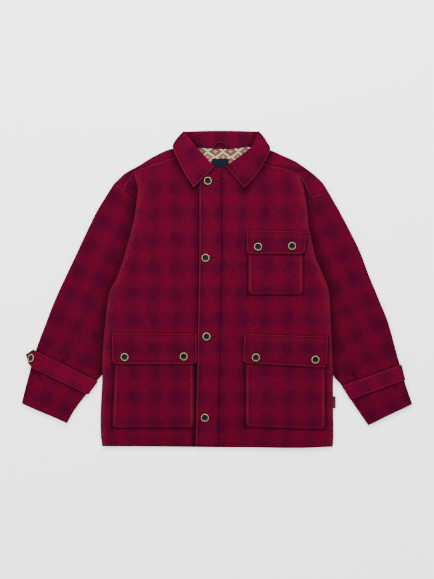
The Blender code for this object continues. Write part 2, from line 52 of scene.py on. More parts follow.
# Heights of the upper faces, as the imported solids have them
CLOTH = 3.0
TRIM_CLOTH = 2.4
SEAM_GAP = 0.3
BACK_TOP = 3.0
FRONT_TOP = 9.4
LAP_TOP = 9.6
UNDERLAP_TOP = 6.3
TUCKED_TOP = 6.1
SLEEVE_CLOTH = 2.8
PLACKET_TOP = 11.9
PLACKET_WALL = 2.0
POCKET_WALL = 3.0
STAND_TOP = 5.7
LINING_TOP = 4.3
LABEL_TOP = 5.6
LABEL_WALL = 1.0
LOOP_TOP = 7.2
LOOP_WALL = 1.2
TAB_TOP = 11.9
TAB_WALL = 2.2
FLOOR_GAP = 0.15

# The body's folded sides, from the yoke seam down to the hem
BODY_SIDES = (
    Side(y=250, right=-197, left=216.5),
    Side(y=220, right=-200.5, left=221),
    Side(y=190, right=-204, left=226),
    Side(y=160, right=-210, left=228),
    Side(y=120, right=-221, left=236),
    Side(y=80, right=-231.5, left=245.5),
    Side(y=50, right=-242, left=258),
    Side(y=20, right=-254, left=271),
    Side(y=-5, right=-267.5, left=278.5),
    Side(y=-30, right=-272.5, left=281),
    Side(y=-90, right=-279, left=284),
    Side(y=-160, right=-285, left=287),
    Side(y=-215, right=-286, left=289.5),
    Side(y=-232, right=-286.5, left=289.5),
    Side(y=-310, right=-290.5, left=290),
    Side(y=-368, right=-289.5, left=290.5),
)
HEM = {"r": At(-286, -391), "l": At(289, -392)}
HEM_MIDDLE = At(192, -395)
HEM_STITCHED = (("bottom", (23.5,)),)
HEM_PULL = 0.5
NECK_Y = 351
YOKE_NECK_X = {"r": -62, "l": 97}
SHOULDER = {
    "r": (At(-111.5, 351), At(-157, 332), At(-193, 310), At(-229, 289.5), At(-244, 276),
          At(-257, 263.5)),
    "l": (At(134, 346.5), At(163, 334), At(196, 319), At(221, 302), At(243.5, 285), At(265, 264),
          At(279, 241)),
}
YOKE_SEAM = {
    "r": (At(-62, 338), At(-99, 326.5), At(-128, 317), At(-162, 306), At(-196, 294.5), At(-208, 286)),
    "l": (At(97, 318.5), At(118.5, 310), At(132, 304), At(177, 295), At(195, 288.5), At(207, 280)),
}
YOKE_END = {
    "r": (At(-218, 271), At(-226.5, 258.5), At(-230, 246)),
    "l": (At(216, 266), At(227, 243), At(238, 228)),
}
ARMHOLE = {
    "r": (At(-257, 263.5), At(-240.5, 248), At(-230, 246), At(-213, 233), At(-189, 214)),
    "l": (At(279, 241), At(238, 228), At(226, 213), At(210, 200)),
}
TUCK = 11.0
SLEEVE_OUTER = {
    "r": (At(-257, 263.5), At(-279, 229), At(-303, 188.5), At(-360, 68.5), At(-404, -26.5),
          At(-428, -88), At(-452, -153), At(-475, -235.5), At(-487, -284)),
    "l": (At(279, 241), At(309.5, 187.5), At(354, 100), At(378.5, 36), At(404.5, -26.5),
          At(426, -80), At(447, -155), At(467, -226.5), At(487, -286)),
}
SLEEVE_INNER = {
    "r": (At(-286, -213), At(-300, -229), At(-325, -261), At(-354, -299), At(-374, -334)),
    "l": (At(289.5, -214), At(312, -241), At(332, -273.5), At(377, -339)),
}
CUFF = {
    "r": (At(-487, -284), At(-445, -303), At(-399.5, -322), At(-374, -334)),
    "l": (At(487, -286), At(467, -295.5), At(425.5, -315), At(377, -339)),
}
# How far outside the body's side a sleeve starts to rise, and where it is at its full height
SLEEVE_RISES = 5.0
SLEEVE_UP = 40.0
# Below which height on the body, and over how much, the side's fold and a sleeve lie free
SIDE_FREE_Y = -212
SIDE_FREES_OVER = 22.0
SLEEVE_FREES_OVER = 14.0

LAP_EDGE = (At(-43.5, 300), At(-43.5, 260), At(-44, 73.5), At(-47, -93), At(-53, -391))
UNDERLAP = 48.0
UNDERLAP_LOW = 54.0
UNDERLAP_HIGH = 61.0
PLACKET_LEFT = (At(-43.5, 302), At(-44, 73.5), At(-47, -93), At(-53, -388.5))
PLACKET_RIGHT = (At(11.5, 302), At(11.5, 73.5), At(8, -101.5), At(3, -388.5))
NECKLINE = {
    "r": (At(-38, 317), At(-16, 296)),
    "l": (At(64, 315), At(20, 302), At(-7, 302)),
}

COLLAR_ROLL = {
    "r": (At(-79.5, 393), At(-74, 384), At(-50, 354), At(-28, 329.5), At(-7, 305)),
    "l": (At(101.5, 392.5), At(97, 379), At(84.5, 355), At(62, 336), At(39.5, 320), At(21, 307)),
}
COLLAR_OUTER = {
    "r": (At(-83, 395.5), At(-94, 384), At(-102.5, 373.5), At(-109.3, 362), At(-111, 355.5), At(-107, 343),
          At(-81, 289), At(-58, 253)),
    "l": (At(104.5, 395), At(117, 380), At(128, 362), At(132, 355.5), At(133, 346), At(113, 307.5),
          At(91, 276), At(68, 252.5)),
}
COLLAR_FOLD = (At(-82, 393.5), At(-45, 395), At(-2, 396), At(50, 395.5), At(102, 394))
NECK_SEAM = (At(-56, 353), At(-11, 351), At(27, 349.5), At(90, 356))
COLLAR_BACK_LEFT = (At(-82, 393.5), At(-101, 373.5), At(-109.5, 355), At(-110, 351))
COLLAR_BACK_RIGHT = (At(102, 394), At(121, 374), At(132.5, 353), At(131, 347))
LINING_LEFT = (At(-56, 353), At(-34, 318.5), At(-16, 303.5))
LINING_RIGHT = (At(90, 356), At(60, 322), At(36, 303.5))
NECK_LABEL = Box(left=-13, top=326, right=29, bottom=302.5)
SIDE_LABEL = Box(left=286.0, top=-266.5, right=296, bottom=-296)
SIDE_LABEL_MIDDLE = 4.8
SIDE_LABEL_HALF = 0.62
SIDE_LABEL_WALL = 0.42
# How much of the side label's width is plain beside its fold, outside the tan panel
SIDE_LABEL_PLAIN = 3.4
LOOP_MIDDLE = At(8.75, 352)
LOOP_HALF_WIDTH = 16.0
LOOP_HEIGHT = 15.0
LOOP_STRIP = 4.2

Pocket = namedtuple("Pocket", "name flap bag ground buttons under")
POCKETS = (
    Pocket(
        name="pocket_r",
        flap=(At(-261.5, -109), At(-50, -111), At(-50, -185.5), At(-260.5, -185.5)),
        bag=(At(-253.5, -129), At(-57.5, -129), At(-57, -344.5), At(-261.5, -344.5)),
        ground=FRONT_TOP,
        buttons=(At(-229.5, -168), At(-82.5, -166.5)),
        under="front_r",
    ),
    Pocket(
        name="pocket_l",
        flap=(At(67, -111), At(276, -117.5), At(273.5, -194), At(65.5, -183)),
        bag=(At(70, -131), At(270, -137), At(270, -349), At(70, -342)),
        ground=LAP_TOP,
        buttons=(At(96.5, -169), At(244.5, -174.5)),
        under="front_l",
    ),
    Pocket(
        name="chest_pocket",
        flap=(At(74, 147), At(224, 143), At(217.5, 88), At(74, 88.5)),
        bag=(At(76.5, 126), At(214.5, 123), At(214.5, -13), At(76.5, -13)),
        ground=LAP_TOP,
        buttons=(At(102, 106), At(186.5, 108)),
        under="front_l",
    ),
)
CORNER_RADIUS = 9.5
CORNER_STEPS = 8
POCKET_PULL = 0.75
# How far below its top edge a flap starts to rise onto the bag, and over how much
FLAP_FLAT = 6.0
FLAP_RAMP = 12.0

FRONT_BUTTONS = (At(-22.8, 269.8), At(-28.5, 78.5), At(-26, -117), At(-30, -319))

TAB_R_POINT = (At(-457, -149), At(-477.5, -162), At(-469.5, -185.5), At(-456, -198))
TAB_R_END = (At(-296.2, -229.6), At(-320.5, -262.5))
TAB_L_INNER = (At(310, -240.2), At(331.5, -275))
TAB_L_OUTER = (At(460, -186.2), At(469.8, -225.5))
TAB_SHELF = 2.7
TAB_CREST = 18.0
TAB_AT_EDGE = 15.9
TAB_SLOPE = 0.78
TAB_CLIMBS_AT = 34
TAB_CLIMBS_OVER = 26
TAB_FOOT = 0.8
TAB_PULL = 0.4
TAB_FOLD_LINE = SLEEVE_OUTER["r"][-3:-1]
TAB_BUTTON = At(-460.5, -171)

# Soft waves of the laid cloth: length, heading in degrees, phase and half height
Wave = namedtuple("Wave", "length heading phase rise")
WAVES = (
    Wave(210, 20, 0.4, 0.55),
    Wave(150, 105, 2.1, 0.45),
    Wave(96, 62, 4.4, 0.30),
    Wave(70, 150, 1.2, 0.22),
    Wave(47, 12, 5.3, 0.12),
    Wave(33, 80, 0.9, 0.07),
)
# How far the waves' crests bend from straight lines
WAVE_BEND = 14.0
# Creases: ends, half width, and rise, below zero for a valley
Crease = namedtuple("Crease", "start end width rise")
CREASES = (
    Crease(At(-224, 291), At(-167, 314), 5.0, 1.1),
    Crease(At(194.5, 296), At(222, 298), 3.5, -1.0),
    Crease(At(338, -207), At(351, -225), 3.2, -1.6),
    Crease(At(331, -203), At(344, -226), 4.0, 0.9),
    Crease(At(451, -163), At(449, -190), 2.6, -1.8),
    Crease(At(443, -160), At(442, -189), 3.4, 0.9),
    Crease(At(438, -238), At(448, -247), 2.8, -1.6),
    Crease(At(347, -273), At(355, -297), 3.0, -1.5),
    Crease(At(-443, -211), At(-440, -224), 3.0, -1.5),
    Crease(At(-433, -213), At(-428, -226), 3.0, 0.8),
    Crease(At(-448, -141), At(-445, -158), 3.0, -1.6),
    Crease(At(-381, -176), At(-390, -196), 4.0, -1.0),
)

# Edge kinds: how far in the rounding of an edge reaches, and where the grid has lines on it
ROUNDING = {"fold": 3.8, "free": 1.6, "seam": 1.5, "raw": 0.5}
ROUND_STEPS = (0.0, 0.03, 0.13, 0.3, 0.55, 1.0)
# A fold's wall goes all the way down as far in as FOLD_FULL, then thins out over FOLD_REACH
FOLD_FULL = 2.0
FOLD_REACH = 9.0
CELL = 3.0
COARSE_CELL = 9.0
TRIM_CELL = 2.8
TAB_CELL = 2.6
LABEL_CELL = 1.5
ALL_FREE = ("free", "free", "free", "free")
ALL_RAW = ("raw", "raw", "raw", "raw")
# A piece that fills less than this share of its box lies at a slant
SLANTED = 0.34
# The most of a piece's width that the close grid lines of one edge may take
EDGE_SHARE = 0.42

# All colours are toned down by this much for the bright studio
STUDIO_TONE = 0.76

# Stitches, and the valley that a row of them draws the cloth down into
STITCH_LENGTH = 2.9
STITCH_PITCH = 3.7
STITCH_WIDTH = 0.75
STITCH_RISE = 0.32
STITCH_CLEAR = 1.6
VALLEY_DEPTH = 0.85
VALLEY_WIDTH = 1.3
# Painted shade in a stitched valley: how much darker the felt is there, and how far to each side
STITCH_DARK = 0.34
STITCH_REACH = 1.5
# Painted highlight on the raised cloth beside stitching: how much lighter the felt is between the edge
# and a row that lies near enough to it, how near that is, and the half width of the lighter band between two
# rows
BEAD_HIGHLIGHT = 0.48
BEAD_HIGHLIGHT_WITHIN = 8.0
BEAD_HIGHLIGHT_BAND = 2.2
# Painted highlight on a rounded fold: how much lighter the felt is there, and how far in
FOLD_HIGHLIGHT = 0.30
FOLD_HIGHLIGHT_REACH = 12.0


def smooth(value):
    """Runs from 0 to 1 with level ends as value does."""
    value = np.clip(value, 0.0, 1.0)
    return value * value * (3.0 - 2.0 * value)


def srgb(red, green, blue):
    """A linear colour from 0 to 255 display values, toned down for the bright studio."""
    parts = []
    for part in (red, green, blue):
        part /= 255.0
        parts.append(STUDIO_TONE * (part / 12.92 if part <= 0.04045 else ((part + 0.055) / 1.055) ** 2.4))
    return (*parts, 1.0)


# Curves in the plane

SHARP_TURN = radians(28)
# How many places are measured at a time
BATCH = 4000


def curve(points, spacing=2.0):
    """A smooth line through the points, with a corner where they turn sharply."""
    points = [np.array(point, float) for point in points]
    breaks = [0]
    for index in range(1, len(points) - 1):
        before, after = points[index] - points[index - 1], points[index + 1] - points[index]
        turn = abs(atan2(before[0] * after[1] - before[1] * after[0], float(before @ after)))
        if turn > SHARP_TURN:
            breaks.append(index)
    breaks.append(len(points) - 1)
    line = [points[0]]
    for first, last in zip(breaks, breaks[1:]):
        run = points[first: last + 1]
        ends = [2 * run[0] - run[1]] + run + [2 * run[-1] - run[-2]]
        for index in range(len(run) - 1):
            p0, p1, p2, p3 = ends[index: index + 4]
            length = float(np.linalg.norm(p2 - p1))
            slope1 = (p2 - p0) * length / (np.linalg.norm(p1 - p0) + length)
            slope2 = (p3 - p1) * length / (np.linalg.norm(p3 - p2) + length)
            steps = max(1, int(length / spacing))
            for step in range(1, steps + 1):
                t = step / steps
                h1, h2 = 2 * t**3 - 3 * t**2 + 1, t**3 - 2 * t**2 + t
                h3, h4 = -2 * t**3 + 3 * t**2, t**3 - t**2
                line.append(h1 * p1 + h2 * slope1 + h3 * p2 + h4 * slope2)
    return np.array(line)


def corner_shares(points):
    """How far along the smooth line each of its sharp corners lies."""
    line = curve(points)
    found = []
    for before, corner, after in zip(points, points[1:], points[2:]):
        first = atan2(corner.y - before.y, corner.x - before.x)
        turn = abs((atan2(after.y - corner.y, after.x - corner.x) - first + pi) % (2 * pi) - pi)
        if turn > SHARP_TURN:
            nearest = np.linalg.norm(line - np.array(corner), axis=1).argmin()
            found.append(float(shares(line)[nearest]))
    return found


def shares(line):
    """How far along the line each of its points lies, from 0 to 1."""
    steps = np.concatenate([[0.0], np.cumsum(np.linalg.norm(np.diff(line, axis=0), axis=1))])
    return steps / steps[-1]


def length_of(line):
    return float(np.linalg.norm(np.diff(line, axis=0), axis=1).sum())


def along(line, share):
    """The place or places at a share of the line's length."""
    known = shares(line)
    return np.stack([np.interp(share, known, line[:, 0]), np.interp(share, known, line[:, 1])], axis=-1)


def distance_to(line, places):
    """The distance from each place to the line."""
    starts, ends = line[:-1], line[1:]
    runs = ends - starts
    squares = np.maximum((runs**2).sum(axis=1), 1e-12)
    flat = places.reshape(-1, 2)
    found = np.empty(len(flat))
    for low in range(0, len(flat), BATCH):
        part = flat[low: low + BATCH]
        offset = part[:, None, :] - starts[None, :, :]
        share = np.clip((offset * runs[None]).sum(axis=2) / squares[None], 0.0, 1.0)
        gap = offset - share[..., None] * runs[None]
        found[low: low + BATCH] = np.sqrt((gap**2).sum(axis=2)).min(axis=1)
    return found.reshape(places.shape[:-1])


def inset_line(line, distance, side):
    """The line moved sideways, to its left where side is 1, without the loops at its corners."""
    ahead = np.gradient(line, axis=0)
    ahead /= np.maximum(np.linalg.norm(ahead, axis=1), 1e-9)[:, None]
    moved = line + side * distance * np.stack([-ahead[:, 1], ahead[:, 0]], axis=1)
    return moved[distance_to(line, moved) > distance - 0.08]


def even_places(line, pitch):
    """Places at an even pitch along a line, with the heading at each."""
    count = max(2, int(length_of(line) / pitch))
    middles = (np.arange(count) + 0.5) / count
    places = along(line, middles)
    behind, ahead = along(line, middles - 0.3 / count), along(line, middles + 0.3 / count)
    heading = np.arctan2(ahead[:, 1] - behind[:, 1], ahead[:, 0] - behind[:, 0])
    return places, heading


def relief(x, y):
    """How far the laid cloth rises and falls, the same for every layer at a place."""
    total = np.zeros(np.broadcast(x, y).shape)
    bend = WAVE_BEND * np.sin(0.013 * x + 0.021 * y + 0.7)
    for wave in WAVES:
        heading = radians(wave.heading)
        run = (x + bend) * cos(heading) + (y - bend) * sin(heading)
        total = total + wave.rise * np.sin(2 * pi * run / wave.length + wave.phase)
    for crease in CREASES:
        dx, dy = crease.end.x - crease.start.x, crease.end.y - crease.start.y
        length = hypot(dx, dy)
        run = ((x - crease.start.x) * dx + (y - crease.start.y) * dy) / length**2
        off = ((x - crease.start.x) * dy - (y - crease.start.y) * dx) / length
        fade = smooth(2.2 * np.minimum(run + 0.15, 1.15 - run))
        total = total + crease.rise * fade * np.exp(-((off / crease.width) ** 2))
    return total


# Materials

Check = namedtuple("Check", "turn across along")
# The check's pitch, and how far its bands wander from their straight places
CHECK_ACROSS = 55.4
CHECK_ALONG = 65.8
CHECK_WANDER = 30.0
CHECKS = {
    "body": Check(turn=0.0, across=9.5, along=-9.0),
    "sleeve_r": Check(turn=-24.5, across=-276.3, along=-164.0),
    "sleeve_l": Check(turn=26.0, across=265.3, along=-255.5),
    "tab_r": Check(turn=66.0, across=-372.0, along=232.0),
    "tab_l": Check(turn=-66.3, across=370.0, along=232.6),
    "yoke_r": Check(turn=0.0, across=9.5, along=22.0),
    "yoke_l": Check(turn=0.0, across=9.5, along=22.0),
    "leaf_r": Check(turn=32.0, across=9.5, along=-9.0),
    "leaf_l": Check(turn=-36.0, across=9.5, along=-9.0),
    "stand": Check(turn=0.0, across=9.5, along=372.0),
    "pockets": Check(turn=0.0, across=12.0, along=-6.0),
    "flaps": Check(turn=0.0, across=8.0, along=-14.0),
    "placket": Check(turn=0.0, across=9.5, along=-9.0),
}
CRIMSON = srgb(80, 2, 27)
CHECK_MIDDLE = srgb(71, 1, 28)
PLUM = srgb(57, 0, 27)
FIBRE_LIGHT = srgb(126, 24, 58)
# Colour of the painted highlight on rounded folds and beside stitching
HIGHLIGHT_COLOUR = srgb(108, 24, 48)
# Pieces that the photo shows lighter or darker than the fronts: partly their own tone and partly painted
# light and shade, as where the left leaf is darker than the right for the light falling from one side
TONE_AND_SHADE = {"body": 0.95, "tab_r": 1.18, "tab_l": 1.20, "leaf_r": 1.05, "leaf_l": 0.92, "placket": 0.97,
          "flaps": 0.90, "pockets": 0.95, "sleeve_r": 0.91, "sleeve_l": 0.90}
# The lining's pattern: its pitch both ways, and the steps of a lozenge
Lozenge = namedtuple("Lozenge", "wide high steps")
LOZENGE = Lozenge(wide=38.0, high=27.0, steps=10.0)


class Nodes:
    """A short way to write a material's nodes."""

    def __init__(self, name):
        self.made = bpy.data.materials.new(name)
        self.made.use_nodes = True
        self.tree = self.made.node_tree
        self.shader = self.tree.nodes["Principled BSDF"]

    def add(self, kind, inputs=(), **settings):
        node = self.tree.nodes.new(kind)
        for key, value in settings.items():
            setattr(node, key, value)
        for key, value in dict(inputs).items():
            if isinstance(value, bpy.types.NodeSocket):
                self.tree.links.new(value, node.inputs[key])
            else:
                node.inputs[key].default_value = value
        return node

    def math(self, operation, *values, clamp=False):
        node = self.add("ShaderNodeMath", dict(enumerate(values)), operation=operation, use_clamp=clamp)
        return node.outputs[0]

    def vector(self, operation, first, second):
        node = self.add("ShaderNodeVectorMath", {0: first, 1: second}, operation=operation)
        return node.outputs[0]

    def around_zero(self, value, size):
        """A 0 to 1 value spread evenly round 0, at a size."""
        return self.math("MULTIPLY", self.math("SUBTRACT", value, 0.5), size)

    def millimetres(self, turn=0.0):
        place = self.add("ShaderNodeTexCoord").outputs["Object"]
        turned = self.add("ShaderNodeMapping", {"Vector": place, "Rotation": (0, 0, radians(turn)),
                                                "Scale": (1000, 1000, 1000)}, vector_type="POINT")
        return turned.outputs[0]

    def noise(self, place, scale, detail=2.0, rough=0.5, stretch=None):
        if stretch:
            place = self.add("ShaderNodeMapping", {"Vector": place, "Scale": stretch}).outputs[0]
        node = self.add("ShaderNodeTexNoise", {"Vector": place, "Scale": scale, "Detail": detail,
                                               "Roughness": rough})
        return node.outputs[0]

    def mix(self, share, first, second, blend="MIX"):
        node = self.add("ShaderNodeMix", {0: share, 6: first, 7: second}, data_type="RGBA", blend_type=blend)
        return node.outputs[2]

    def ramp(self, value, *stops):
        node = self.add("ShaderNodeValToRGB", {0: value})
        elements = node.color_ramp.elements
        while len(elements) < len(stops):
            elements.new(0.5)
        for element, (place, colour) in zip(elements, stops):
            element.position = place
            element.color = colour
        return node.outputs[0]

    def finish(self, colour, roughness, bump=None, strength=0.5, distance=0.0004):
        for key, value in (("Base Color", colour), ("Roughness", roughness)):
            if isinstance(value, bpy.types.NodeSocket):
                self.tree.links.new(value, self.shader.inputs[key])
            else:
                self.shader.inputs[key].default_value = value
        if bump is not None:
            node = self.add("ShaderNodeBump", {"Strength": strength, "Distance": distance, "Height": bump})
            self.tree.links.new(node.outputs[0], self.shader.inputs["Normal"])
        return self.made


def wool(name, check, shade=1.0):
    """Felted wool with a blurred check: bands across and along that darken where they cross."""
    nodes = Nodes(f"wool_check_{name}")
    place = nodes.millimetres(-check.turn)
    wander = nodes.add("ShaderNodeTexNoise", {"Vector": place, "Scale": 0.028, "Detail": 2.0})
    shift = nodes.vector("SUBTRACT", wander.outputs[1], (0.5, 0.5, 0.5))
    shift = nodes.vector("MULTIPLY", shift, (CHECK_WANDER, CHECK_WANDER, 0.0))
    parts = nodes.add("ShaderNodeSeparateXYZ", {0: nodes.vector("ADD", place, shift)}).outputs
    bands = []
    for part, start, pitch in ((parts[0], check.across, CHECK_ACROSS), (parts[1], check.along, CHECK_ALONG)):
        turn = nodes.math("MULTIPLY", nodes.math("SUBTRACT", part, start), 2 * pi / pitch)
        wave = nodes.math("MULTIPLY_ADD", nodes.math("COSINE", turn), 0.5, 0.5)
        bands.append(nodes.math("SMOOTH_MIN", wave, 0.93, 0.25))
    both = nodes.math("MULTIPLY", nodes.math("ADD", bands[0], bands[1]), 0.5)
    cloud = nodes.noise(place, 0.05, detail=3.0, rough=0.6)
    nap = nodes.noise(place, 0.17, detail=6.0, rough=0.78)
    fibre = nodes.noise(place, 1.9, detail=3.0, rough=0.7, stretch=(1.0, 0.45, 1.0))
    value = nodes.math("ADD", both, nodes.around_zero(cloud, 0.30))
    value = nodes.math("ADD", value, nodes.around_zero(nap, 0.60))
    colour = nodes.ramp(value, (0.05, CRIMSON), (0.50, CHECK_MIDDLE), (0.95, PLUM))
    lighter = nodes.math("MULTIPLY", nodes.math("SUBTRACT", fibre, 0.5), 0.9, clamp=True)
    colour = nodes.mix(lighter, colour, FIBRE_LIGHT)
    felt = nodes.noise(place, 0.34, detail=4.0, rough=0.8)
    depth = nodes.math("MULTIPLY_ADD", nap, 1.1 * shade, -0.55 * shade)
    depth = nodes.math("ADD", depth, nodes.math("MULTIPLY", felt, 2.0 * shade))
    # The attribute is above 0 where shade is painted and the felt darker, and below 0 where a highlight is
    # painted and the felt lighter
    painted_shading = nodes.add("ShaderNodeAttribute", attribute_name="painted_shading").outputs[2]
    kept = nodes.math("SUBTRACT", 1.0, nodes.math("MAXIMUM", painted_shading, 0.0))
    depth = nodes.math("MULTIPLY", depth, kept)
    painted_highlight = nodes.math("MULTIPLY", painted_shading, -1.0, clamp=True)
    colour = nodes.mix(painted_highlight, colour, HIGHLIGHT_COLOUR)
    grey = nodes.add("ShaderNodeCombineColor", {0: depth, 1: depth, 2: depth}).outputs[0]
    colour = nodes.mix(1.0, colour, grey, blend="MULTIPLY")
    height = nodes.math("ADD", nodes.math("MULTIPLY", nap, 1.4), nodes.math("MULTIPLY", fibre, 0.8))
    shader = nodes.shader.inputs
    shader["Sheen Weight"].default_value = 0.10
    shader["Sheen Roughness"].default_value = 0.5
    shader["Sheen Tint"].default_value = srgb(190, 30, 90)
    shader["Specular IOR Level"].default_value = 0.03
    rough = nodes.math("MULTIPLY_ADD", fibre, 0.1, 0.86)
    return nodes.finish(colour, rough, height, strength=0.55, distance=0.0005)


def woven(name, dark, light, pitch, roughness=0.75):
    """A fine plain weave, as labels, thread and the loop's strip have."""
    nodes = Nodes(name)
    place = nodes.millimetres()
    parts = nodes.add("ShaderNodeSeparateXYZ", {0: place}).outputs
    waves = []
    for part in parts[:2]:
        turn = nodes.math("MULTIPLY", part, 2 * pi / pitch)
        waves.append(nodes.math("MULTIPLY_ADD", nodes.math("SINE", turn), 0.5, 0.5))
    weave = nodes.math("MULTIPLY", waves[0], waves[1])
    uneven = nodes.noise(place, 0.6, detail=3.0)
    nodes.shader.inputs["Specular IOR Level"].default_value = 0.08
    value = nodes.math("ADD", nodes.math("MULTIPLY", weave, 0.6), nodes.math("MULTIPLY", uneven, 0.4))
    return nodes.finish(nodes.ramp(value, (0.15, dark), (0.85, light)), roughness, weave, 0.4, 0.0002)


def lining_finish():
    """A dark brown weave with plain stepped lozenges in two pale colours."""
    nodes = Nodes("lining_cloth_stepped")
    place = nodes.millimetres()
    parts = nodes.add("ShaderNodeSeparateXYZ", {0: place}).outputs
    folded = []
    for part, start, pitch in ((parts[0], 15.0, LOZENGE.wide), (parts[1], 330.0, LOZENGE.high)):
        moved = nodes.math("DIVIDE", nodes.math("SUBTRACT", part, start), pitch)
        centred = nodes.math("SUBTRACT", moved, nodes.math("ROUND", moved))
        steps = nodes.math("ROUND", nodes.math("MULTIPLY", nodes.math("ABSOLUTE", centred), LOZENGE.steps))
        folded.append(nodes.math("DIVIDE", steps, LOZENGE.steps))
    ring = nodes.math("ADD", folded[0], folded[1])
    thread = nodes.noise(place, 2.2, detail=2.0, stretch=(1.0, 0.3, 1.0))
    ground = nodes.ramp(thread, (0.3, srgb(38, 24, 23)), (0.7, srgb(62, 40, 36)))
    pale = nodes.ramp(thread, (0.3, srgb(160, 128, 88)), (0.7, srgb(196, 164, 124)))
    warm = nodes.ramp(thread, (0.3, srgb(160, 74, 3)), (0.7, srgb(200, 108, 10)))
    inner = nodes.math("LESS_THAN", ring, 0.15)
    middle = nodes.math("COMPARE", ring, 0.45, 0.08)
    outer = nodes.math("GREATER_THAN", ring, 0.86)
    colour = nodes.mix(inner, nodes.mix(middle, nodes.mix(outer, ground, warm), pale), warm)
    return nodes.finish(colour, 0.7, thread, 0.3, 0.0002)


def horn(name, dark, light, roughness):
    """Polished button stock with a faint cloud in it."""
    nodes = Nodes(name)
    cloud = nodes.noise(nodes.millimetres(), 0.35, detail=4.0, rough=0.6)
    scratch = nodes.noise(nodes.millimetres(), 2.5, detail=2.0, stretch=(1.0, 0.2, 1.0))
    rough = nodes.math("MULTIPLY_ADD", scratch, 0.2, roughness)
    made = nodes.finish(nodes.ramp(cloud, (0.3, dark), (0.75, light)), rough, scratch, 0.08, 0.0001)
    nodes.shader.inputs["Specular IOR Level"].default_value = 0.14
    return made


def make_finishes():
    made = {name: wool(name, check, TONE_AND_SHADE.get(name, 1.0)) for name, check in CHECKS.items()}
    made["seam"] = woven("wool_thread", srgb(40, 1, 15), srgb(62, 4, 26), 0.9, 0.8)
    made["topstitch"] = woven("stitch_thread", srgb(70, 3, 28), srgb(98, 14, 44), 0.9, 0.8)
    # The buttonhole slit's near-black colour is painted shade in the cut
    made["slit"] = woven("buttonhole_slit_shade", srgb(10, 0, 5), srgb(22, 1, 9), 0.9, 0.9)
    made["lining"] = lining_finish()
    made["label"] = woven("label_weave", srgb(4, 9, 20), srgb(12, 20, 36), 0.8)
    made["label_edge"] = woven("label_border", srgb(72, 48, 26), srgb(108, 76, 44), 0.8)
    made["loop"] = woven("loop_weave", srgb(50, 0, 20), srgb(80, 0, 32), 1.1)
    made["black"] = horn("button_black_horn", srgb(2, 2, 4), srgb(8, 8, 12), 0.34)
    made["ring"] = horn("button_ring_pale", srgb(136, 124, 80), srgb(200, 186, 138), 0.3)
    made["thread"] = woven("button_thread", srgb(8, 6, 10), srgb(24, 16, 22), 0.5)
    return made


# Meshes


def new_object(name, points, faces, finishes, face_finish=None):
    mesh = bpy.data.meshes.new(name)
    mesh.from_pydata([tuple(point * MM) for point in np.asarray(points, float)], [], faces)
    for finish in finishes:
        mesh.materials.append(FINISHES[finish])
    if face_finish is not None:
        mesh.polygons.foreach_set("material_index", face_finish)
    mesh.polygons.foreach_set("use_smooth", [True] * len(mesh.polygons))
    mesh.validate()
    made = bpy.data.objects.new(name, mesh)
    bpy.context.scene.collection.objects.link(made)
    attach(made, "root")
    return made


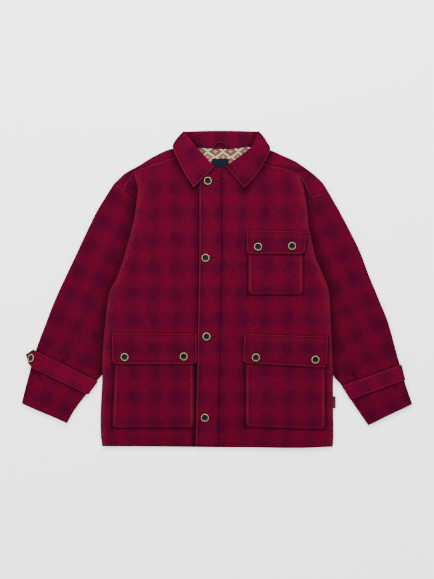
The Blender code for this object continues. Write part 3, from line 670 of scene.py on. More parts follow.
class Cloth:
    """A piece of cloth between four edges, with a rounded rim and a wall of its own."""

    def __init__(self, name, left, right, top, bottom, height, wall, kinds, depth=None, stitched=(),
                 cell=CELL, pull=1.0, corners=()):
        """kinds are those of the left, right, top and bottom edge; stitched lists edges and insets.

        depth is the wall at a fold, pull the share of a full stitched valley, and corners are
        shares down the piece where the grid has a row.
        """
        self.name = name
        self.edges = {"left": curve(left), "right": curve(right), "top": curve(top), "bottom": curve(bottom)}
        self.height = height
        self.wall = wall
        self.kinds = dict(zip(("left", "right", "top", "bottom"), kinds))
        self.depth = depth
        self.stitched = stitched
        self.cell = cell
        self.pull = pull
        self.corners = corners
        self.rows = {parts: self.edge_line(parts) for parts, _ in stitched}

    def edge_line(self, parts):
        """One line along the edges that parts names, as in left+bottom."""
        return joined([self.edges[part] for part in parts.split("+")])

    def near(self, side):
        """Distances in from this side that the grid has lines at."""
        found = [ROUNDING[self.kinds[side]] * step for step in ROUND_STEPS]
        for parts, insets in self.stitched:
            if side in parts.split("+"):
                for inset in insets:
                    found += [inset - VALLEY_WIDTH, inset, inset + VALLEY_WIDTH]
        return sorted(found)

    def grid(self):
        """Shares across and down for every grid line."""
        left, right = self.edges["left"], self.edges["right"]
        tall = max(length_of(left), length_of(right))
        down = spread(self.near("top"), self.near("bottom"), tall, self.cell)
        for corner in self.corners:
            nearest = int(np.abs(down[1:-1] - corner).argmin()) + 1
            down[nearest] = corner
        down = np.unique(down)
        widths = np.linalg.norm(along(right, down) - along(left, down), axis=1)
        first, last = self.near("left"), self.near("right")
        count = max(2, int((float(widths.max()) - first[-1] - last[-1]) / self.cell))
        across = np.array([spread(first, last, width, self.cell, count) for width in widths])
        return across, np.repeat(down[:, None], across.shape[1], axis=1)

    def places(self, u, v):
        left, right, top, bottom = (self.edges[key] for key in ("left", "right", "top", "bottom"))
        u3, v3 = u[..., None], v[..., None]
        flat = (1 - u3) * along(left, v) + u3 * along(right, v)
        flat += (1 - v3) * (along(top, u) - (1 - u3) * top[0] - u3 * top[-1])
        flat += v3 * (along(bottom, u) - (1 - u3) * bottom[0] - u3 * bottom[-1])
        return flat

    def levels(self, places):
        """Upper and lower face at each place."""
        x, y = places[..., 0], places[..., 1]
        apart = {key: distance_to(line, places) for key, line in self.edges.items()}
        top = self.height(x, y) + relief(x, y)
        thick = np.full(x.shape, float(self.wall))
        for key, kind in self.kinds.items():
            if kind == "fold":
                depth = self.depth(x, y) if self.depth else top - FLOOR_GAP
                share = 1.0 - smooth((apart[key] - FOLD_FULL) / FOLD_REACH)
                thick = np.maximum(thick, self.wall + (depth - self.wall) * share)
        for parts, insets in self.stitched:
            gap = distance_to(self.rows[parts], places)
            for inset in insets:
                top = top - self.pull * VALLEY_DEPTH * np.exp(-(((gap - inset) / VALLEY_WIDTH) ** 2))
        inward = np.zeros(x.shape)
        for key, kind in self.kinds.items():
            inward += np.clip(1.0 - apart[key] / ROUNDING[kind], 0.0, 1.0) ** 2
        rim = 1.0 - np.sqrt(np.clip(1.0 - inward, 0.0, 1.0))
        half = 0.5 * thick - 0.01
        return top - half * rim, np.maximum(top - thick + half * rim, 0.5 * FLOOR_GAP)

    def over(self, x, y):
        """The upper face at one place."""
        return float(self.levels(np.array([[x, y]], float))[0][0])

    def tone(self, places, finish):
        """How much shade is painted into the felt at each place, below zero where a highlight is painted."""
        darker = np.zeros(places.shape[:-1])
        # Painted shadow under the edges that lie on the piece, and painted shade in its creases and seams
        for painted_shading in PAINTED_SHADE_LINES.get(self.name, ()):
            near = distance_to(painted_shading.line, places)
            darker = np.maximum(darker, painted_shading.share * np.exp(-((near / painted_shading.reach) ** 2)))
        # Painted shade in each stitched valley, and a painted highlight on the raised cloth beside it
        for parts, insets in self.stitched:
            gap = distance_to(self.rows[parts], places)
            for inset in insets:
                darker += self.pull * STITCH_DARK * np.exp(-(((gap - inset) / STITCH_REACH) ** 2))
            if len(insets) > 1:
                darker -= BEAD_HIGHLIGHT * np.exp(-(((gap - sum(insets) / 2) / BEAD_HIGHLIGHT_BAND) ** 2))
            elif insets[0] < BEAD_HIGHLIGHT_WITHIN:
                darker -= self.pull * BEAD_HIGHLIGHT * smooth((insets[0] - STITCH_REACH - gap) / 1.5)
        # Painted highlight along the body's rounded folds
        for key, kind in self.kinds.items():
            if kind == "fold" and finish == "body":
                near = distance_to(self.edges[key], places)
                darker -= FOLD_HIGHLIGHT * np.exp(-((near / FOLD_HIGHLIGHT_REACH) ** 2))
        return darker

    def build(self, finish, slot="wool_check"):
        """Makes the mesh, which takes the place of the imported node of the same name."""
        places = self.places(*self.grid())
        upper, lower = self.levels(places)
        tall, wide = upper.shape
        points = np.concatenate([
            np.dstack([places, upper[..., None]]).reshape(-1, 3),
            np.dstack([places, lower[..., None]]).reshape(-1, 3),
        ])
        index = np.arange(tall * wide).reshape(tall, wide)
        quads = np.stack([index[:-1, :-1], index[1:, :-1], index[1:, 1:], index[:-1, 1:]], axis=-1)
        quads = quads.reshape(-1, 4)
        rim = rim_of(index)
        after = np.roll(rim, -1)
        sides = np.stack([rim, after, after + tall * wide, rim + tall * wide], axis=-1)
        faces = np.concatenate([quads, quads[:, ::-1] + tall * wide, sides])
        corner = places[0, 0]
        if np.cross(places[1, 0] - corner, places[0, 1] - corner) < 0:
            faces = faces[:, ::-1]
        made = new_object(f"cloth_{self.name}", points, faces.tolist(), [finish])
        # Painted shade and painted highlight, read by the wool material
        layer = made.data.attributes.new("painted_shading", "FLOAT", "POINT")
        tone = self.tone(places, finish)
        layer.data.foreach_set("value", np.tile(tone.ravel(), 2).astype(np.float32))
        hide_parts(self.name)
        self.outline = rim_of(places)
        self.made = made

    def declare(self, rests_on, with_pieces=()):
        """Works out what the piece was cut to, the box of its outline and its flat area, but neither keeps
        nor reports them.
        """
        x, y = self.outline[:, 0], self.outline[:, 1]
        area = abs(float(np.sum(x * np.roll(y, -1) - y * np.roll(x, -1)))) / 2.0
        wide, high = float(np.ptp(x)), float(np.ptp(y))
        if area < SLANTED * wide * high:
            places = self.places(*self.grid())
            high = max(length_of(self.edges["left"]), length_of(self.edges["right"]))
            wide = float(np.linalg.norm(places[:, -1] - places[:, 0], axis=1).max())


def rim_of(grid):
    """The outermost values of a grid, in order round it."""
    return np.concatenate([grid[0, :], grid[1:, -1], grid[-1, -2::-1], grid[-2:0:-1, 0]])


def joined(lines):
    """One line from several that follow each other round a piece, turned end for end as needed."""
    whole = lines[0]
    if len(lines) > 1:
        ends = lines[1][[0, -1]]
        if np.linalg.norm(whole[0] - ends, axis=1).min() < 1:
            whole = whole[::-1]
    for line in lines[1:]:
        if np.linalg.norm(line[-1] - whole[-1]) < np.linalg.norm(line[0] - whole[-1]):
            line = line[::-1]
        whole = np.concatenate([whole, line[1:]])
    return whole


def spread(first, last, length, cell, count=None):
    """Shares from 0 to 1 with fixed distances at each end and even cells between."""
    fit = min(1.0, EDGE_SHARE * length / max(first[-1], last[-1]))
    low, high = fit * first[-1] / length, 1.0 - fit * last[-1] / length
    if count is None:
        count = max(2, int((high - low) * length / cell))
    return np.concatenate([
        fit * np.array(first[:-1]) / length,
        np.linspace(low, high, count + 1),
        1.0 - fit * np.array(last[:-1])[::-1] / length,
    ])


FINISHES = make_finishes()

# Painted shade where an edge above casts its shadow on the cloth, and in creases and seams:
# how far it reaches, and how much darker the felt is
PaintedShadeLine = namedtuple("PaintedShadeLine", "line reach share")
LOOP_STEPS = 40
ARCH_STEPS = 10


def loop_middle(turn, drop=0.0):
    """A place on the middle line of the hanger loop's arch, half a turn from end to end."""
    return At(LOOP_MIDDLE.x - LOOP_HALF_WIDTH * cos(turn),
              LOOP_MIDDLE.y - drop + LOOP_HEIGHT * sin(turn))


def find_painted_shade():
    """For each piece, the lines of painted shade on it: edges of others that lie on it, creases and seams."""
    found = {}

    def paint_shade(names, points, reach, share):
        for name in names:
            found.setdefault(name, []).append(PaintedShadeLine(curve(points), reach, share))

    for pocket in POCKETS:
        top_left, top_right, low_right, low_left = pocket.bag
        paint_shade([pocket.under], [top_left, low_left], 4.2, 0.62)
        paint_shade([pocket.under], [top_right, low_right], 3.6, 0.55)
        paint_shade([pocket.under], [low_left, low_right], 3.2, 0.45)
        top_left, top_right, low_right, low_left = pocket.flap
        for ends in ((top_left, low_left), (top_right, low_right), (top_left, top_right)):
            paint_shade([pocket.under], ends, 3.0, 0.40)
        paint_shade([pocket.name, pocket.under], [low_left, low_right], 5.0, 0.50)
    paint_shade(["front_r"], LAP_EDGE, 4.0, 0.60)
    paint_shade(["front_r"], [At(-50.5, -180), LAP_EDGE[-1]], 8.5, 0.84)
    for side in ("r", "l"):
        body = [f"front_{side}", f"yoke_{side}", "placket"]
        paint_shade(body, COLLAR_OUTER[side], 14.0, 0.55)
        paint_shade(body, [COLLAR_OUTER[side][-1], COLLAR_ROLL[side][-1]], 9.0, 0.50)
        paint_shade(["collar_stand", "lining_neck"], COLLAR_ROLL[side], 11.0, 0.60)
        paint_shade([f"sleeve_{side}_top", f"front_tuck_{side}"], side_points(side, low=-225), 17.0, 0.55)
    paint_shade(["lining_neck", "collar_stand"], NECK_SEAM, 3.5, 0.35)
    arch = [loop_middle(pi * step / ARCH_STEPS, drop=2.0) for step in range(ARCH_STEPS + 1)]
    paint_shade(["collar_stand"], arch, 4.6, 0.60)
    paint_shade(["placket", "front_l"], PLACKET_RIGHT, 2.0, 0.32)
    for crease in CREASES:
        if crease.rise < 0:
            side = "r" if crease.start.x < 0 else "l"
            names = [f"sleeve_{side}_top"] if crease.start.y < 200 else [f"yoke_{side}"]
            paint_shade(names, [crease.start, crease.end], 1.3 * crease.width, 0.42)
    for side, ends in (("r", (TAB_R_POINT[0], TAB_R_END[0])), ("r", (TAB_R_POINT[-1], TAB_R_END[-1])),
                       ("l", (TAB_L_INNER[0], TAB_L_OUTER[0])), ("l", (TAB_L_INNER[1], TAB_L_OUTER[1]))):
        paint_shade([f"sleeve_{side}_top"], ends, 4.0, 0.60)
    return found


def flat_at(top):
    return lambda x, y: np.full(np.broadcast(x, y).shape, float(top))


def side_points(side, low=-999, high=999, shift=0.0):
    key = "right" if side == "r" else "left"
    inward = shift if side == "r" else -shift
    return [At(getattr(row, key) + inward, row.y) for row in BODY_SIDES if low < row.y < high]


PAINTED_SHADE_LINES = find_painted_shade()


def side_x(side, y):
    """Where the body's side lies at a height on the body."""
    rows = sorted(BODY_SIDES, key=lambda row: row.y)
    key = "right" if side == "r" else "left"
    return np.interp(y, [row.y for row in rows], [getattr(row, key) for row in rows])


def hidden_edge(side):
    return side_points(side, low=-170, high=195, shift=TUCK)


# The pieces of cloth


def make_back():
    left = [At(YOKE_NECK_X["r"], NECK_Y)] + list(SHOULDER["r"]) + list(ARMHOLE["r"])[1:]
    left += hidden_edge("r") + [SLEEVE_INNER["r"][0]] + side_points("r", high=-220) + [HEM["r"]]
    right = [At(90, NECK_Y)] + list(SHOULDER["l"]) + list(ARMHOLE["l"])[1:]
    right += hidden_edge("l") + [SLEEVE_INNER["l"][0]] + side_points("l", high=-220) + [HEM["l"]]
    back = Cloth(
        "back", left, right, [left[0], right[0]], [HEM["r"], HEM_MIDDLE, HEM["l"]],
        lambda x, y: BACK_TOP - relief(x, y), CLOTH, ("free", "free", "seam", "free"), cell=COARSE_CELL,
    )
    back.build("body")
    back.declare([])


def make_fronts():
    inner = [At(point.x + UNDERLAP, point.y) for point in LAP_EDGE]
    inner[0] = At(inner[0].x, NECKLINE["r"][-1].y)

    def right_height(x, y):
        edge = np.interp(-y, [-point.y for point in inner], [point.x for point in inner])
        dip = smooth((UNDERLAP_HIGH - (edge - x)) / (UNDERLAP_HIGH - UNDERLAP_LOW))
        return FRONT_TOP - (FRONT_TOP - UNDERLAP_TOP) * dip

    def depth(x, y):
        """The side's fold goes down to the floor only below the place where the sleeve leaves it."""
        whole = smooth((SIDE_FREE_Y - y) / SIDE_FREES_OVER)
        return CLOTH + (FRONT_TOP + relief(x, y) - FLOOR_GAP - CLOTH) * whole

    side = [YOKE_SEAM["r"][-1]] + side_points("r") + [HEM["r"]]
    front_r = Cloth(
        "front_r", side, inner, list(YOKE_SEAM["r"][::-1]) + list(NECKLINE["r"]) + [inner[0]],
        [HEM["r"], inner[-1]], right_height, CLOTH, ("fold", "free", "seam", "free"),
        depth=depth, stitched=HEM_STITCHED, pull=HEM_PULL,
    )
    side = [YOKE_SEAM["l"][-1]] + side_points("l") + [HEM["l"]]
    front_l = Cloth(
        "front_l", LAP_EDGE, side, [LAP_EDGE[0]] + list(NECKLINE["l"][::-1]) + list(YOKE_SEAM["l"]),
        [LAP_EDGE[-1], HEM_MIDDLE, HEM["l"]], flat_at(LAP_TOP), CLOTH, ("free", "fold", "seam", "free"),
        depth=depth, stitched=HEM_STITCHED, pull=HEM_PULL,
    )
    placket = Cloth(
        "placket", PLACKET_LEFT, PLACKET_RIGHT, [PLACKET_LEFT[0], PLACKET_RIGHT[0]],
        [PLACKET_LEFT[-1], PLACKET_RIGHT[-1]], flat_at(PLACKET_TOP), PLACKET_WALL,
        ("free", "seam", "seam", "free"), stitched=(("left", (6.0,)),),
    )
    for piece, under in ((front_r, "cloth_back"), (front_l, "cloth_back"), (placket, "cloth_front_l")):
        piece.build("placket" if piece is placket else "body")
        piece.declare([under])
    return front_r, front_l, placket


def make_yokes():
    made = []
    for side, neck_x in YOKE_NECK_X.items():
        inward = 1 if side == "r" else -1
        neck = At(neck_x, NECK_Y)
        seam = list(YOKE_SEAM[side]) + list(YOKE_END[side])
        armhole = list(ARMHOLE[side][:3 if side == "r" else 2])
        yoke = Cloth(
            f"yoke_{side}", [neck] + list(SHOULDER[side]), seam, [neck, seam[0]], armhole, flat_at(FRONT_TOP),
            CLOTH, ("fold", "seam", "seam", "seam"), stitched=(("right", (5.5,)), ("bottom", (5.0,))),
        )
        yoke.build(f"yoke_{side}")
        yoke.declare(["cloth_back"])
        made.append(yoke)

        under = side_points(side, low=200, shift=TUCK)
        armhole = [At(point.x, point.y + 2 * SEAM_GAP) for point in ARMHOLE[side][-2:]]
        armhole.insert(0, At(YOKE_END[side][-1].x + 2 * SEAM_GAP * inward, YOKE_END[side][-1].y))
        start = At(YOKE_SEAM[side][-1].x + 9 * inward, YOKE_SEAM[side][-1].y - 2)
        outer = [At(armhole[0].x - inward, armhole[0].y + 5.0), armhole[0]]
        tuck = Cloth(
            f"front_tuck_{side}", outer, [start] + under + [armhole[-1]],
            [outer[0]] + list(YOKE_END[side][-2::-1]) + [YOKE_SEAM[side][-1], start], armhole,
            tucked_height(side), SLEEVE_CLOTH, ("seam", "free", "seam", "seam"),
        )
        tuck.build("body")
        tuck.declare(["cloth_back"])
    return made


def outside_body(side, x, y):
    return (x - side_x(side, y)) * (-1 if side == "r" else 1)


def tucked_height(side, leaves_at=None):
    """Where cloth lies that starts under the front's fold and rises outside it.

    leaves_at is where the sleeve leaves the body's side: it is at its full height below that.
    """

    def height(x, y):
        risen = smooth((outside_body(side, x, y) - SLEEVE_RISES) / (SLEEVE_UP - SLEEVE_RISES))
        if leaves_at is not None:
            risen = np.maximum(risen, smooth((leaves_at + 2 - y) / SLEEVE_FREES_OVER))
        return TUCKED_TOP + (FRONT_TOP - TUCKED_TOP) * risen

    return height


def make_sleeves():
    for side in ("r", "l"):
        inner = [ARMHOLE[side][-1]] + hidden_edge(side) + list(SLEEVE_INNER[side])
        edges = (SLEEVE_OUTER[side], inner, ARMHOLE[side], CUFF[side])
        leaves_at = SLEEVE_INNER[side][0].y
        height = tucked_height(side, leaves_at)

        def depth(x, y, side=side, leaves_at=leaves_at, height=height):
            """Its folds go down to the floor except where the body lies over them."""
            near_body = outside_body(side, x, y) < SLEEVE_UP
            whole = np.where(near_body, smooth((leaves_at - y) / SLEEVE_FREES_OVER), 1.0)
            return SLEEVE_CLOTH + (height(x, y) + relief(x, y) - FLOOR_GAP - SLEEVE_CLOTH) * whole

        upper = Cloth(
            f"sleeve_{side}_top", *edges, height, SLEEVE_CLOTH, ("fold", "fold", "seam", "free"), depth=depth,
        )
        upper.build(f"sleeve_{side}")
        under = Cloth(
            f"sleeve_{side}_under", *edges, lambda x, y: CLOTH - relief(x, y), CLOTH,
            ("free", "free", "seam", "free"), cell=COARSE_CELL,
        )
        under.build(f"sleeve_{side}")
        upper.declare([under.made.name])
        under.declare([])


def make_collar():
    fall = Cloth(
        "collar_back", COLLAR_BACK_LEFT, COLLAR_BACK_RIGHT, COLLAR_FOLD,
        [COLLAR_BACK_LEFT[-1], At(90, NECK_Y), COLLAR_BACK_RIGHT[-1]],
        lambda x, y: TRIM_CLOTH - relief(x, y), TRIM_CLOTH, ALL_FREE,
    )
    fall.build("stand")
    fall.declare([])
    stand = Cloth(
        "collar_stand", COLLAR_FOLD, NECK_SEAM, [COLLAR_FOLD[0], At(-75, 384), NECK_SEAM[0]],
        [COLLAR_FOLD[-1], At(99, 382), NECK_SEAM[-1]], flat_at(STAND_TOP), TRIM_CLOTH,
        ("fold", "seam", "free", "free"), stitched=(("right", (4.0,)),),
    )
    stand.build("stand")
    stand.declare(["cloth_collar_back"])
    leaves = []
    for side in ("r", "l"):
        roll, outer = COLLAR_ROLL[side], COLLAR_OUTER[side]
        ground = FRONT_TOP if side == "r" else LAP_TOP

        def height(x, y, side=side, ground=ground):
            """A leaf falls off behind the shoulder, and the right one climbs onto the placket."""
            top = ground + SEAM_GAP + TRIM_CLOTH
            over_placket = PLACKET_TOP - FRONT_TOP if side == "r" else 0.0
            fall = 3.3 * smooth((y - NECK_Y - 2) / 28) + 2.6 * smooth((y - 380) / 13)
            return top + over_placket * smooth((x + 95) / 35) - fall

        def depth(x, y, outer=outer):
            """Its wall is deep along the roll and, behind the shoulder, at the outer edge."""
            by_roll = 5.2 * smooth((y - 304) / 14)
            far = distance_to(curve(outer), np.stack([x, y], axis=-1)) < 5.0
            by_outer = 5.6 * smooth((y - NECK_Y - 1) / 8)
            return TRIM_CLOTH + np.where(far, by_outer, by_roll)

        leaf = Cloth(
            f"collar_leaf_{side}", roll, outer, [roll[0], outer[0]], [roll[-1], outer[-1]], height,
            TRIM_CLOTH, ("fold", "free", "free", "free"), depth=depth,
            stitched=(("right+bottom", (5.0,)),), cell=TRIM_CELL,
        )
        leaf.build(f"leaf_{side}")
        leaf.declare([f"cloth_front_{side}", f"cloth_yoke_{side}"])
        leaves.append(leaf)
    return stand, leaves


def make_neck_trim():
    lining = Cloth(
        "lining_neck", LINING_LEFT, LINING_RIGHT, NECK_SEAM, [LINING_LEFT[-1], LINING_RIGHT[-1]],
        flat_at(LINING_TOP), LABEL_WALL, ALL_RAW,
    )
    lining.build("lining", slot="lining_cloth")
    lining.declare(["cloth_back"])
    box = NECK_LABEL
    top_left, top_right = At(box.left, box.top), At(box.right, box.top)
    low_left, low_right = At(box.left, box.bottom), At(box.right, box.bottom)
    label = Cloth(
        "neck_label", [top_left, low_left], [top_right, low_right], [top_left, top_right],
        [low_left, low_right], flat_at(LABEL_TOP), LABEL_WALL, ALL_RAW, cell=LABEL_CELL,
    )
    label.build("label", slot="label_cloth")
    label.declare(["cloth_lining_neck"])


def make_loop():
    """The hanger loop: a narrow strip that stands in an arch, rounded across."""
    steps, ring = LOOP_STEPS, 10
    points = []
    for step in range(steps + 1):
        turn = pi * step / steps
        middle = np.array(loop_middle(turn))
        out = np.array([-cos(turn) * LOOP_HEIGHT, sin(turn) * LOOP_HALF_WIDTH])
        out /= np.linalg.norm(out)
        lift = 0.5 * sin(turn) + 0.25 * sin(3 * turn)
        for spoke in range(ring):
            angle = 2 * pi * spoke / ring
            place = middle + out * 0.5 * LOOP_STRIP * cos(angle)
            points.append((*place, LOOP_TOP - LOOP_WALL / 2 + lift + 0.6 * LOOP_WALL * sin(angle)))
    faces = []
    for step in range(steps):
        for spoke in range(ring):
            after = (spoke + 1) % ring
            faces.append([step * ring + spoke, (step + 1) * ring + spoke,
                          (step + 1) * ring + after, step * ring + after])
    faces.append(list(range(ring)))
    faces.append([steps * ring + spoke for spoke in reversed(range(ring))])
    loop = new_object("loop_strip", points, faces, ["loop"])
    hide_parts("hanger_loop")


def make_side_label():
    """A narrow label folded in two, held in the side's fold."""
    box = SIDE_LABEL
    inner, outer = box.left, box.right
    middle, half, wall = SIDE_LABEL_MIDDLE, SIDE_LABEL_HALF, SIDE_LABEL_WALL
    top, low = middle + half, middle - half
    profile = [(inner, top), (outer - SIDE_LABEL_PLAIN, top), (outer - 0.8, top),
               (outer - 0.2, middle + 0.6 * half), (outer, middle), (outer - 0.2, middle - 0.6 * half),
               (outer - 0.8, low), (inner, low)]
    inside = [(inner, top - wall), (outer - SIDE_LABEL_PLAIN, top - wall), (outer - 1.1, top - wall),
              (outer - 0.75, middle + 0.12), (outer - 0.65, middle), (outer - 0.75, middle - 0.12),
              (outer - 1.1, low + wall), (inner, low + wall)]
    loop = profile + inside[::-1]
    count = len(loop)
    rows = np.linspace(box.top, box.bottom, 13)
    points = [(x, y, z) for y in rows for x, z in loop]
    faces, finish = [], []
    for row in range(len(rows) - 1):
        for index in range(count):
            after = (index + 1) % count
            faces.append([row * count + index, (row + 1) * count + index, (row + 1) * count + after,
                          row * count + after])
            finish.append(1 if index == 0 and 0 < row < len(rows) - 2 else 0)
    for row in (0, len(rows) - 1):
        for index in range(len(profile) - 1):
            pair = [index, index + 1, count - 2 - index, count - 1 - index]
            faces.append([row * count + place for place in pair])
            finish.append(0)
    label = new_object("label_side", points, faces, ["label", "label_edge"], finish)
    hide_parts("side_label")


def arc(before, corner, after):
    """Points of an arc that cuts the corner."""
    def toward(other):
        length = hypot(other.x - corner.x, other.y - corner.y)
        return ((other.x - corner.x) / length, (other.y - corner.y) / length)

    radius = CORNER_RADIUS
    (ax, ay), (bx, by) = toward(before), toward(after)
    middle = At(corner.x + radius * (ax + bx), corner.y + radius * (ay + by))
    turns = [pi / 2 * step / CORNER_STEPS for step in range(CORNER_STEPS + 1)]
    return [At(middle.x - radius * (bx * cos(turn) + ax * sin(turn)),
               middle.y - radius * (by * cos(turn) + ay * sin(turn))) for turn in turns]


def rounded_edges(corners):
    """The left, right, top and bottom edge of a bag or a flap with its lower corners rounded."""
    top_left, top_right, low_right, low_left = corners
    left_arc = arc(top_left, low_left, low_right)
    right_arc = arc(low_left, low_right, top_right)
    return [top_left, left_arc[0]], [top_right, right_arc[-1]], [top_left, top_right], left_arc + right_arc


def make_pockets():
    bags, flaps = [], []
    for pocket in POCKETS:
        bag = Cloth(
            pocket.name, *rounded_edges(pocket.bag), flat_at(pocket.ground + SEAM_GAP + POCKET_WALL),
            POCKET_WALL, ("free", "free", "raw", "free"),
            stitched=(("left+bottom+right", (3.0, 10.0)),), pull=POCKET_PULL,
        )
        bag.build("pockets")
        bag.declare([f"cloth_{pocket.under}"])
        bags.append(bag)
        top_edge = curve(pocket.flap[:2])

        def height(x, y, pocket=pocket, top_edge=top_edge):
            down = distance_to(top_edge, np.stack([x, y], axis=-1))
            rise = smooth((down - FLAP_FLAT) / FLAP_RAMP)
            return pocket.ground + SEAM_GAP + TRIM_CLOTH + (POCKET_WALL + SEAM_GAP) * rise

        flap = Cloth(
            f"{pocket.name}_flap", *rounded_edges(pocket.flap), height, TRIM_CLOTH, ALL_FREE,
            stitched=(("left+bottom+right", (5.5,)), ("top", (4.0,))), cell=TRIM_CELL, pull=POCKET_PULL,
        )
        flap.build("flaps")
        flap.declare([bag.made.name])
        flaps.append(flap)
    return bags, flaps


def beyond_sleeve(x, y):
    """How far past the right sleeve's outer fold a place lies, by the right cuff tab."""
    upper, lower = TAB_FOLD_LINE
    length = hypot(lower.x - upper.x, lower.y - upper.y)
    return ((x - upper.x) * (lower.y - upper.y) - (y - upper.y) * (lower.x - upper.x)) / length


def make_cuff_tabs():
    def sloping(x, y):
        """Up to a crest by the sleeve's fold, then down its outside to a shelf near the floor."""
        past = beyond_sleeve(x, y)
        slope = TAB_AT_EDGE - TAB_SLOPE * past
        crest = TAB_TOP + (TAB_CREST - TAB_TOP) * smooth((past + TAB_CLIMBS_AT) / TAB_CLIMBS_OVER)
        low = np.minimum(crest, slope)
        blend = smooth((low - TAB_SHELF + 2.0) / 4.0)
        return TAB_SHELF + (np.maximum(low, TAB_SHELF) - TAB_SHELF) * blend

    def folded(x, y):
        return TAB_TOP + relief(x, y) - TAB_FOOT

    def depth(x, y):
        inner = smooth((np.asarray(x) + 400) / 60)
        return TAB_WALL + (folded(x, y) - TAB_WALL) * inner

    sewn = {"stitched": (("top", (5.0,)), ("bottom", (5.0,))), "cell": TAB_CELL, "pull": TAB_PULL}
    tab_r = Cloth(
        "cuff_tab_r", TAB_R_POINT, TAB_R_END, [TAB_R_POINT[0], TAB_R_END[0]],
        [TAB_R_POINT[-1], TAB_R_END[-1]], sloping, TAB_WALL, ("free", "fold", "free", "free"),
        depth=depth, corners=corner_shares(TAB_R_POINT), **sewn,
    )
    tab_l = Cloth(
        "cuff_tab_l", TAB_L_INNER, TAB_L_OUTER, [TAB_L_INNER[0], TAB_L_OUTER[0]],
        [TAB_L_INNER[1], TAB_L_OUTER[1]], flat_at(TAB_TOP), TAB_WALL, ("fold", "fold", "free", "free"),
        depth=folded, **sewn,
    )
    for tab, side in ((tab_r, "r"), (tab_l, "l")):
        tab.build(f"tab_{side}")
        tab.declare([f"cloth_sleeve_{side}_top"])
    return tab_r, tab_l


# Thread


def capsule_points(place, heading, z, length, width, rise):
    """Points and faces of one stitch: a low rounded bar."""
    rings = ((-0.5, 0.25), (-0.36, 0.85), (0.0, 1.0), (0.36, 0.85), (0.5, 0.25))
    spokes = 5
    points = []
    for run, share in rings:
        for spoke in range(spokes):
            angle = pi * spoke / (spokes - 1)
            off = 0.5 * width * share * cos(angle)
            up = rise * share * sin(angle) - 0.1
            points.append((place[0] + run * length * cos(heading) - off * sin(heading),
                           place[1] + run * length * sin(heading) + off * cos(heading), z + up))
    faces = []
    for ring in range(len(rings) - 1):
        for spoke in range(spokes - 1):
            corner = ring * spokes + spoke
            faces.append([corner, corner + spokes, corner + spokes + 1, corner + 1])
    return points, faces


class Heap:
    """Points, faces and the finish of each face of a mesh that is put together from many shapes."""

    def __init__(self):
        self.points, self.faces, self.finish = [], [], []

    def bar(self, *measures, finish=0):
        """Adds one stitch; the measures are those of capsule_points."""
        points, faces = capsule_points(*measures)
        self.faces += [[index + len(self.points) for index in face] for face in faces]
        self.finish += [finish] * len(faces)
        self.points += points

    def face(self, corners, finish=0):
        self.faces.append(corners)
        self.finish.append(finish)

    def ring(self, first, second, spokes, finish=0):
        """Adds the band between two rings of points."""
        for spoke in range(spokes):
            after = (spoke + 1) % spokes
            self.face([first + spoke, second + spoke, second + after, first + after], finish)

    def made(self, name, finishes):
        return new_object(name, self.points, self.faces, finishes, self.finish)


def sew(heap, piece, parts, inset):
    """Stitches along some of a piece's edges, at a distance in from them."""
    line = piece.edge_line(parts)
    ahead = along(line, 0.51) - along(line, 0.49)
    inward = piece.outline.mean(axis=0) - along(line, 0.5)
    side = 1 if ahead[0] * inward[1] - ahead[1] * inward[0] > 0 else -1
    line = inset_line(line, inset, side)
    line = along(line, np.linspace(0.0, 1.0, max(8, int(length_of(line) / 1.5))))
    places, headings = even_places(line, STITCH_PITCH)
    keep = np.ones(len(places), bool)
    for key, edge in piece.edges.items():
        if key not in parts.split("+"):
            keep &= distance_to(edge, places) > STITCH_CLEAR
    upper = piece.levels(places)[0]
    for place, heading, z, kept in zip(places, headings, upper, keep):
        if kept:
            heap.bar(place, heading, z, STITCH_LENGTH, STITCH_WIDTH, STITCH_RISE)


def sew_all(pieces):
    for piece in pieces:
        heap = Heap()
        for parts, insets in piece.stitched:
            for inset in insets:
                sew(heap, piece, parts, inset)
        if heap.points:
            heap.made(f"stitches_{piece.name}", ["topstitch"])


Slit = namedtuple("Slit", "centre heading length")


SLIT_SPOKES = 16
SLIT_HALF_WIDTH = 0.45
SLIT_LIFT = 0.05


def worked_slit(heap, piece, slit):
    """A buttonhole: a near-black sheet of painted shade in the slit, inside a ring of close cross stitches.
    """
    heading = radians(slit.heading)
    ahead = np.array([cos(heading), sin(heading)])
    across = np.array([-ahead[1], ahead[0]])
    base = len(heap.points)
    centre = np.array(slit.centre)
    for grow, wide in ((0.0, 0.0), (1.0, SLIT_HALF_WIDTH)):
        for spoke in range(SLIT_SPOKES):
            angle = 2 * pi * spoke / SLIT_SPOKES
            place = centre + ahead * cos(angle) * slit.length / 2 * grow + across * sin(angle) * wide
            heap.points.append((*place, piece.over(*place) + SLIT_LIFT))
    heap.ring(base, base + SLIT_SPOKES, SLIT_SPOKES, finish=1)
    count = int(slit.length / 0.9)
    for side in (-1, 1):
        for step in range(count + 1):
            run = (step / count - 0.5) * slit.length
            place = centre + ahead * run + across * side
            heap.bar(place, heading + pi / 2, piece.over(*place), 1.5, 0.75, 0.4)
    for side in (-1, 1):
        place = centre + ahead * side * (slit.length / 2 + 0.5)
        heap.bar(place, heading + pi / 2, piece.over(*place), 3.6, 1.0, 0.55)


def make_buttonholes(placket, flaps, tab_r):
    heap = Heap()
    for place in FRONT_BUTTONS:
        worked_slit(heap, placket, Slit(At(place.x + 9.0, place.y), 0.0, 25.0))
    for pocket, flap in zip(POCKETS, flaps):
        for place in pocket.buttons:
            worked_slit(heap, flap, Slit(At(place.x + 0.5, place.y + 9.5), 90.0, 21.0))
    worked_slit(heap, tab_r, Slit(At(TAB_BUTTON.x + 15.0, TAB_BUTTON.y - 5.5), -21.0, 16.0))
    heap.made("buttonhole_threads", ["seam", "slit"])


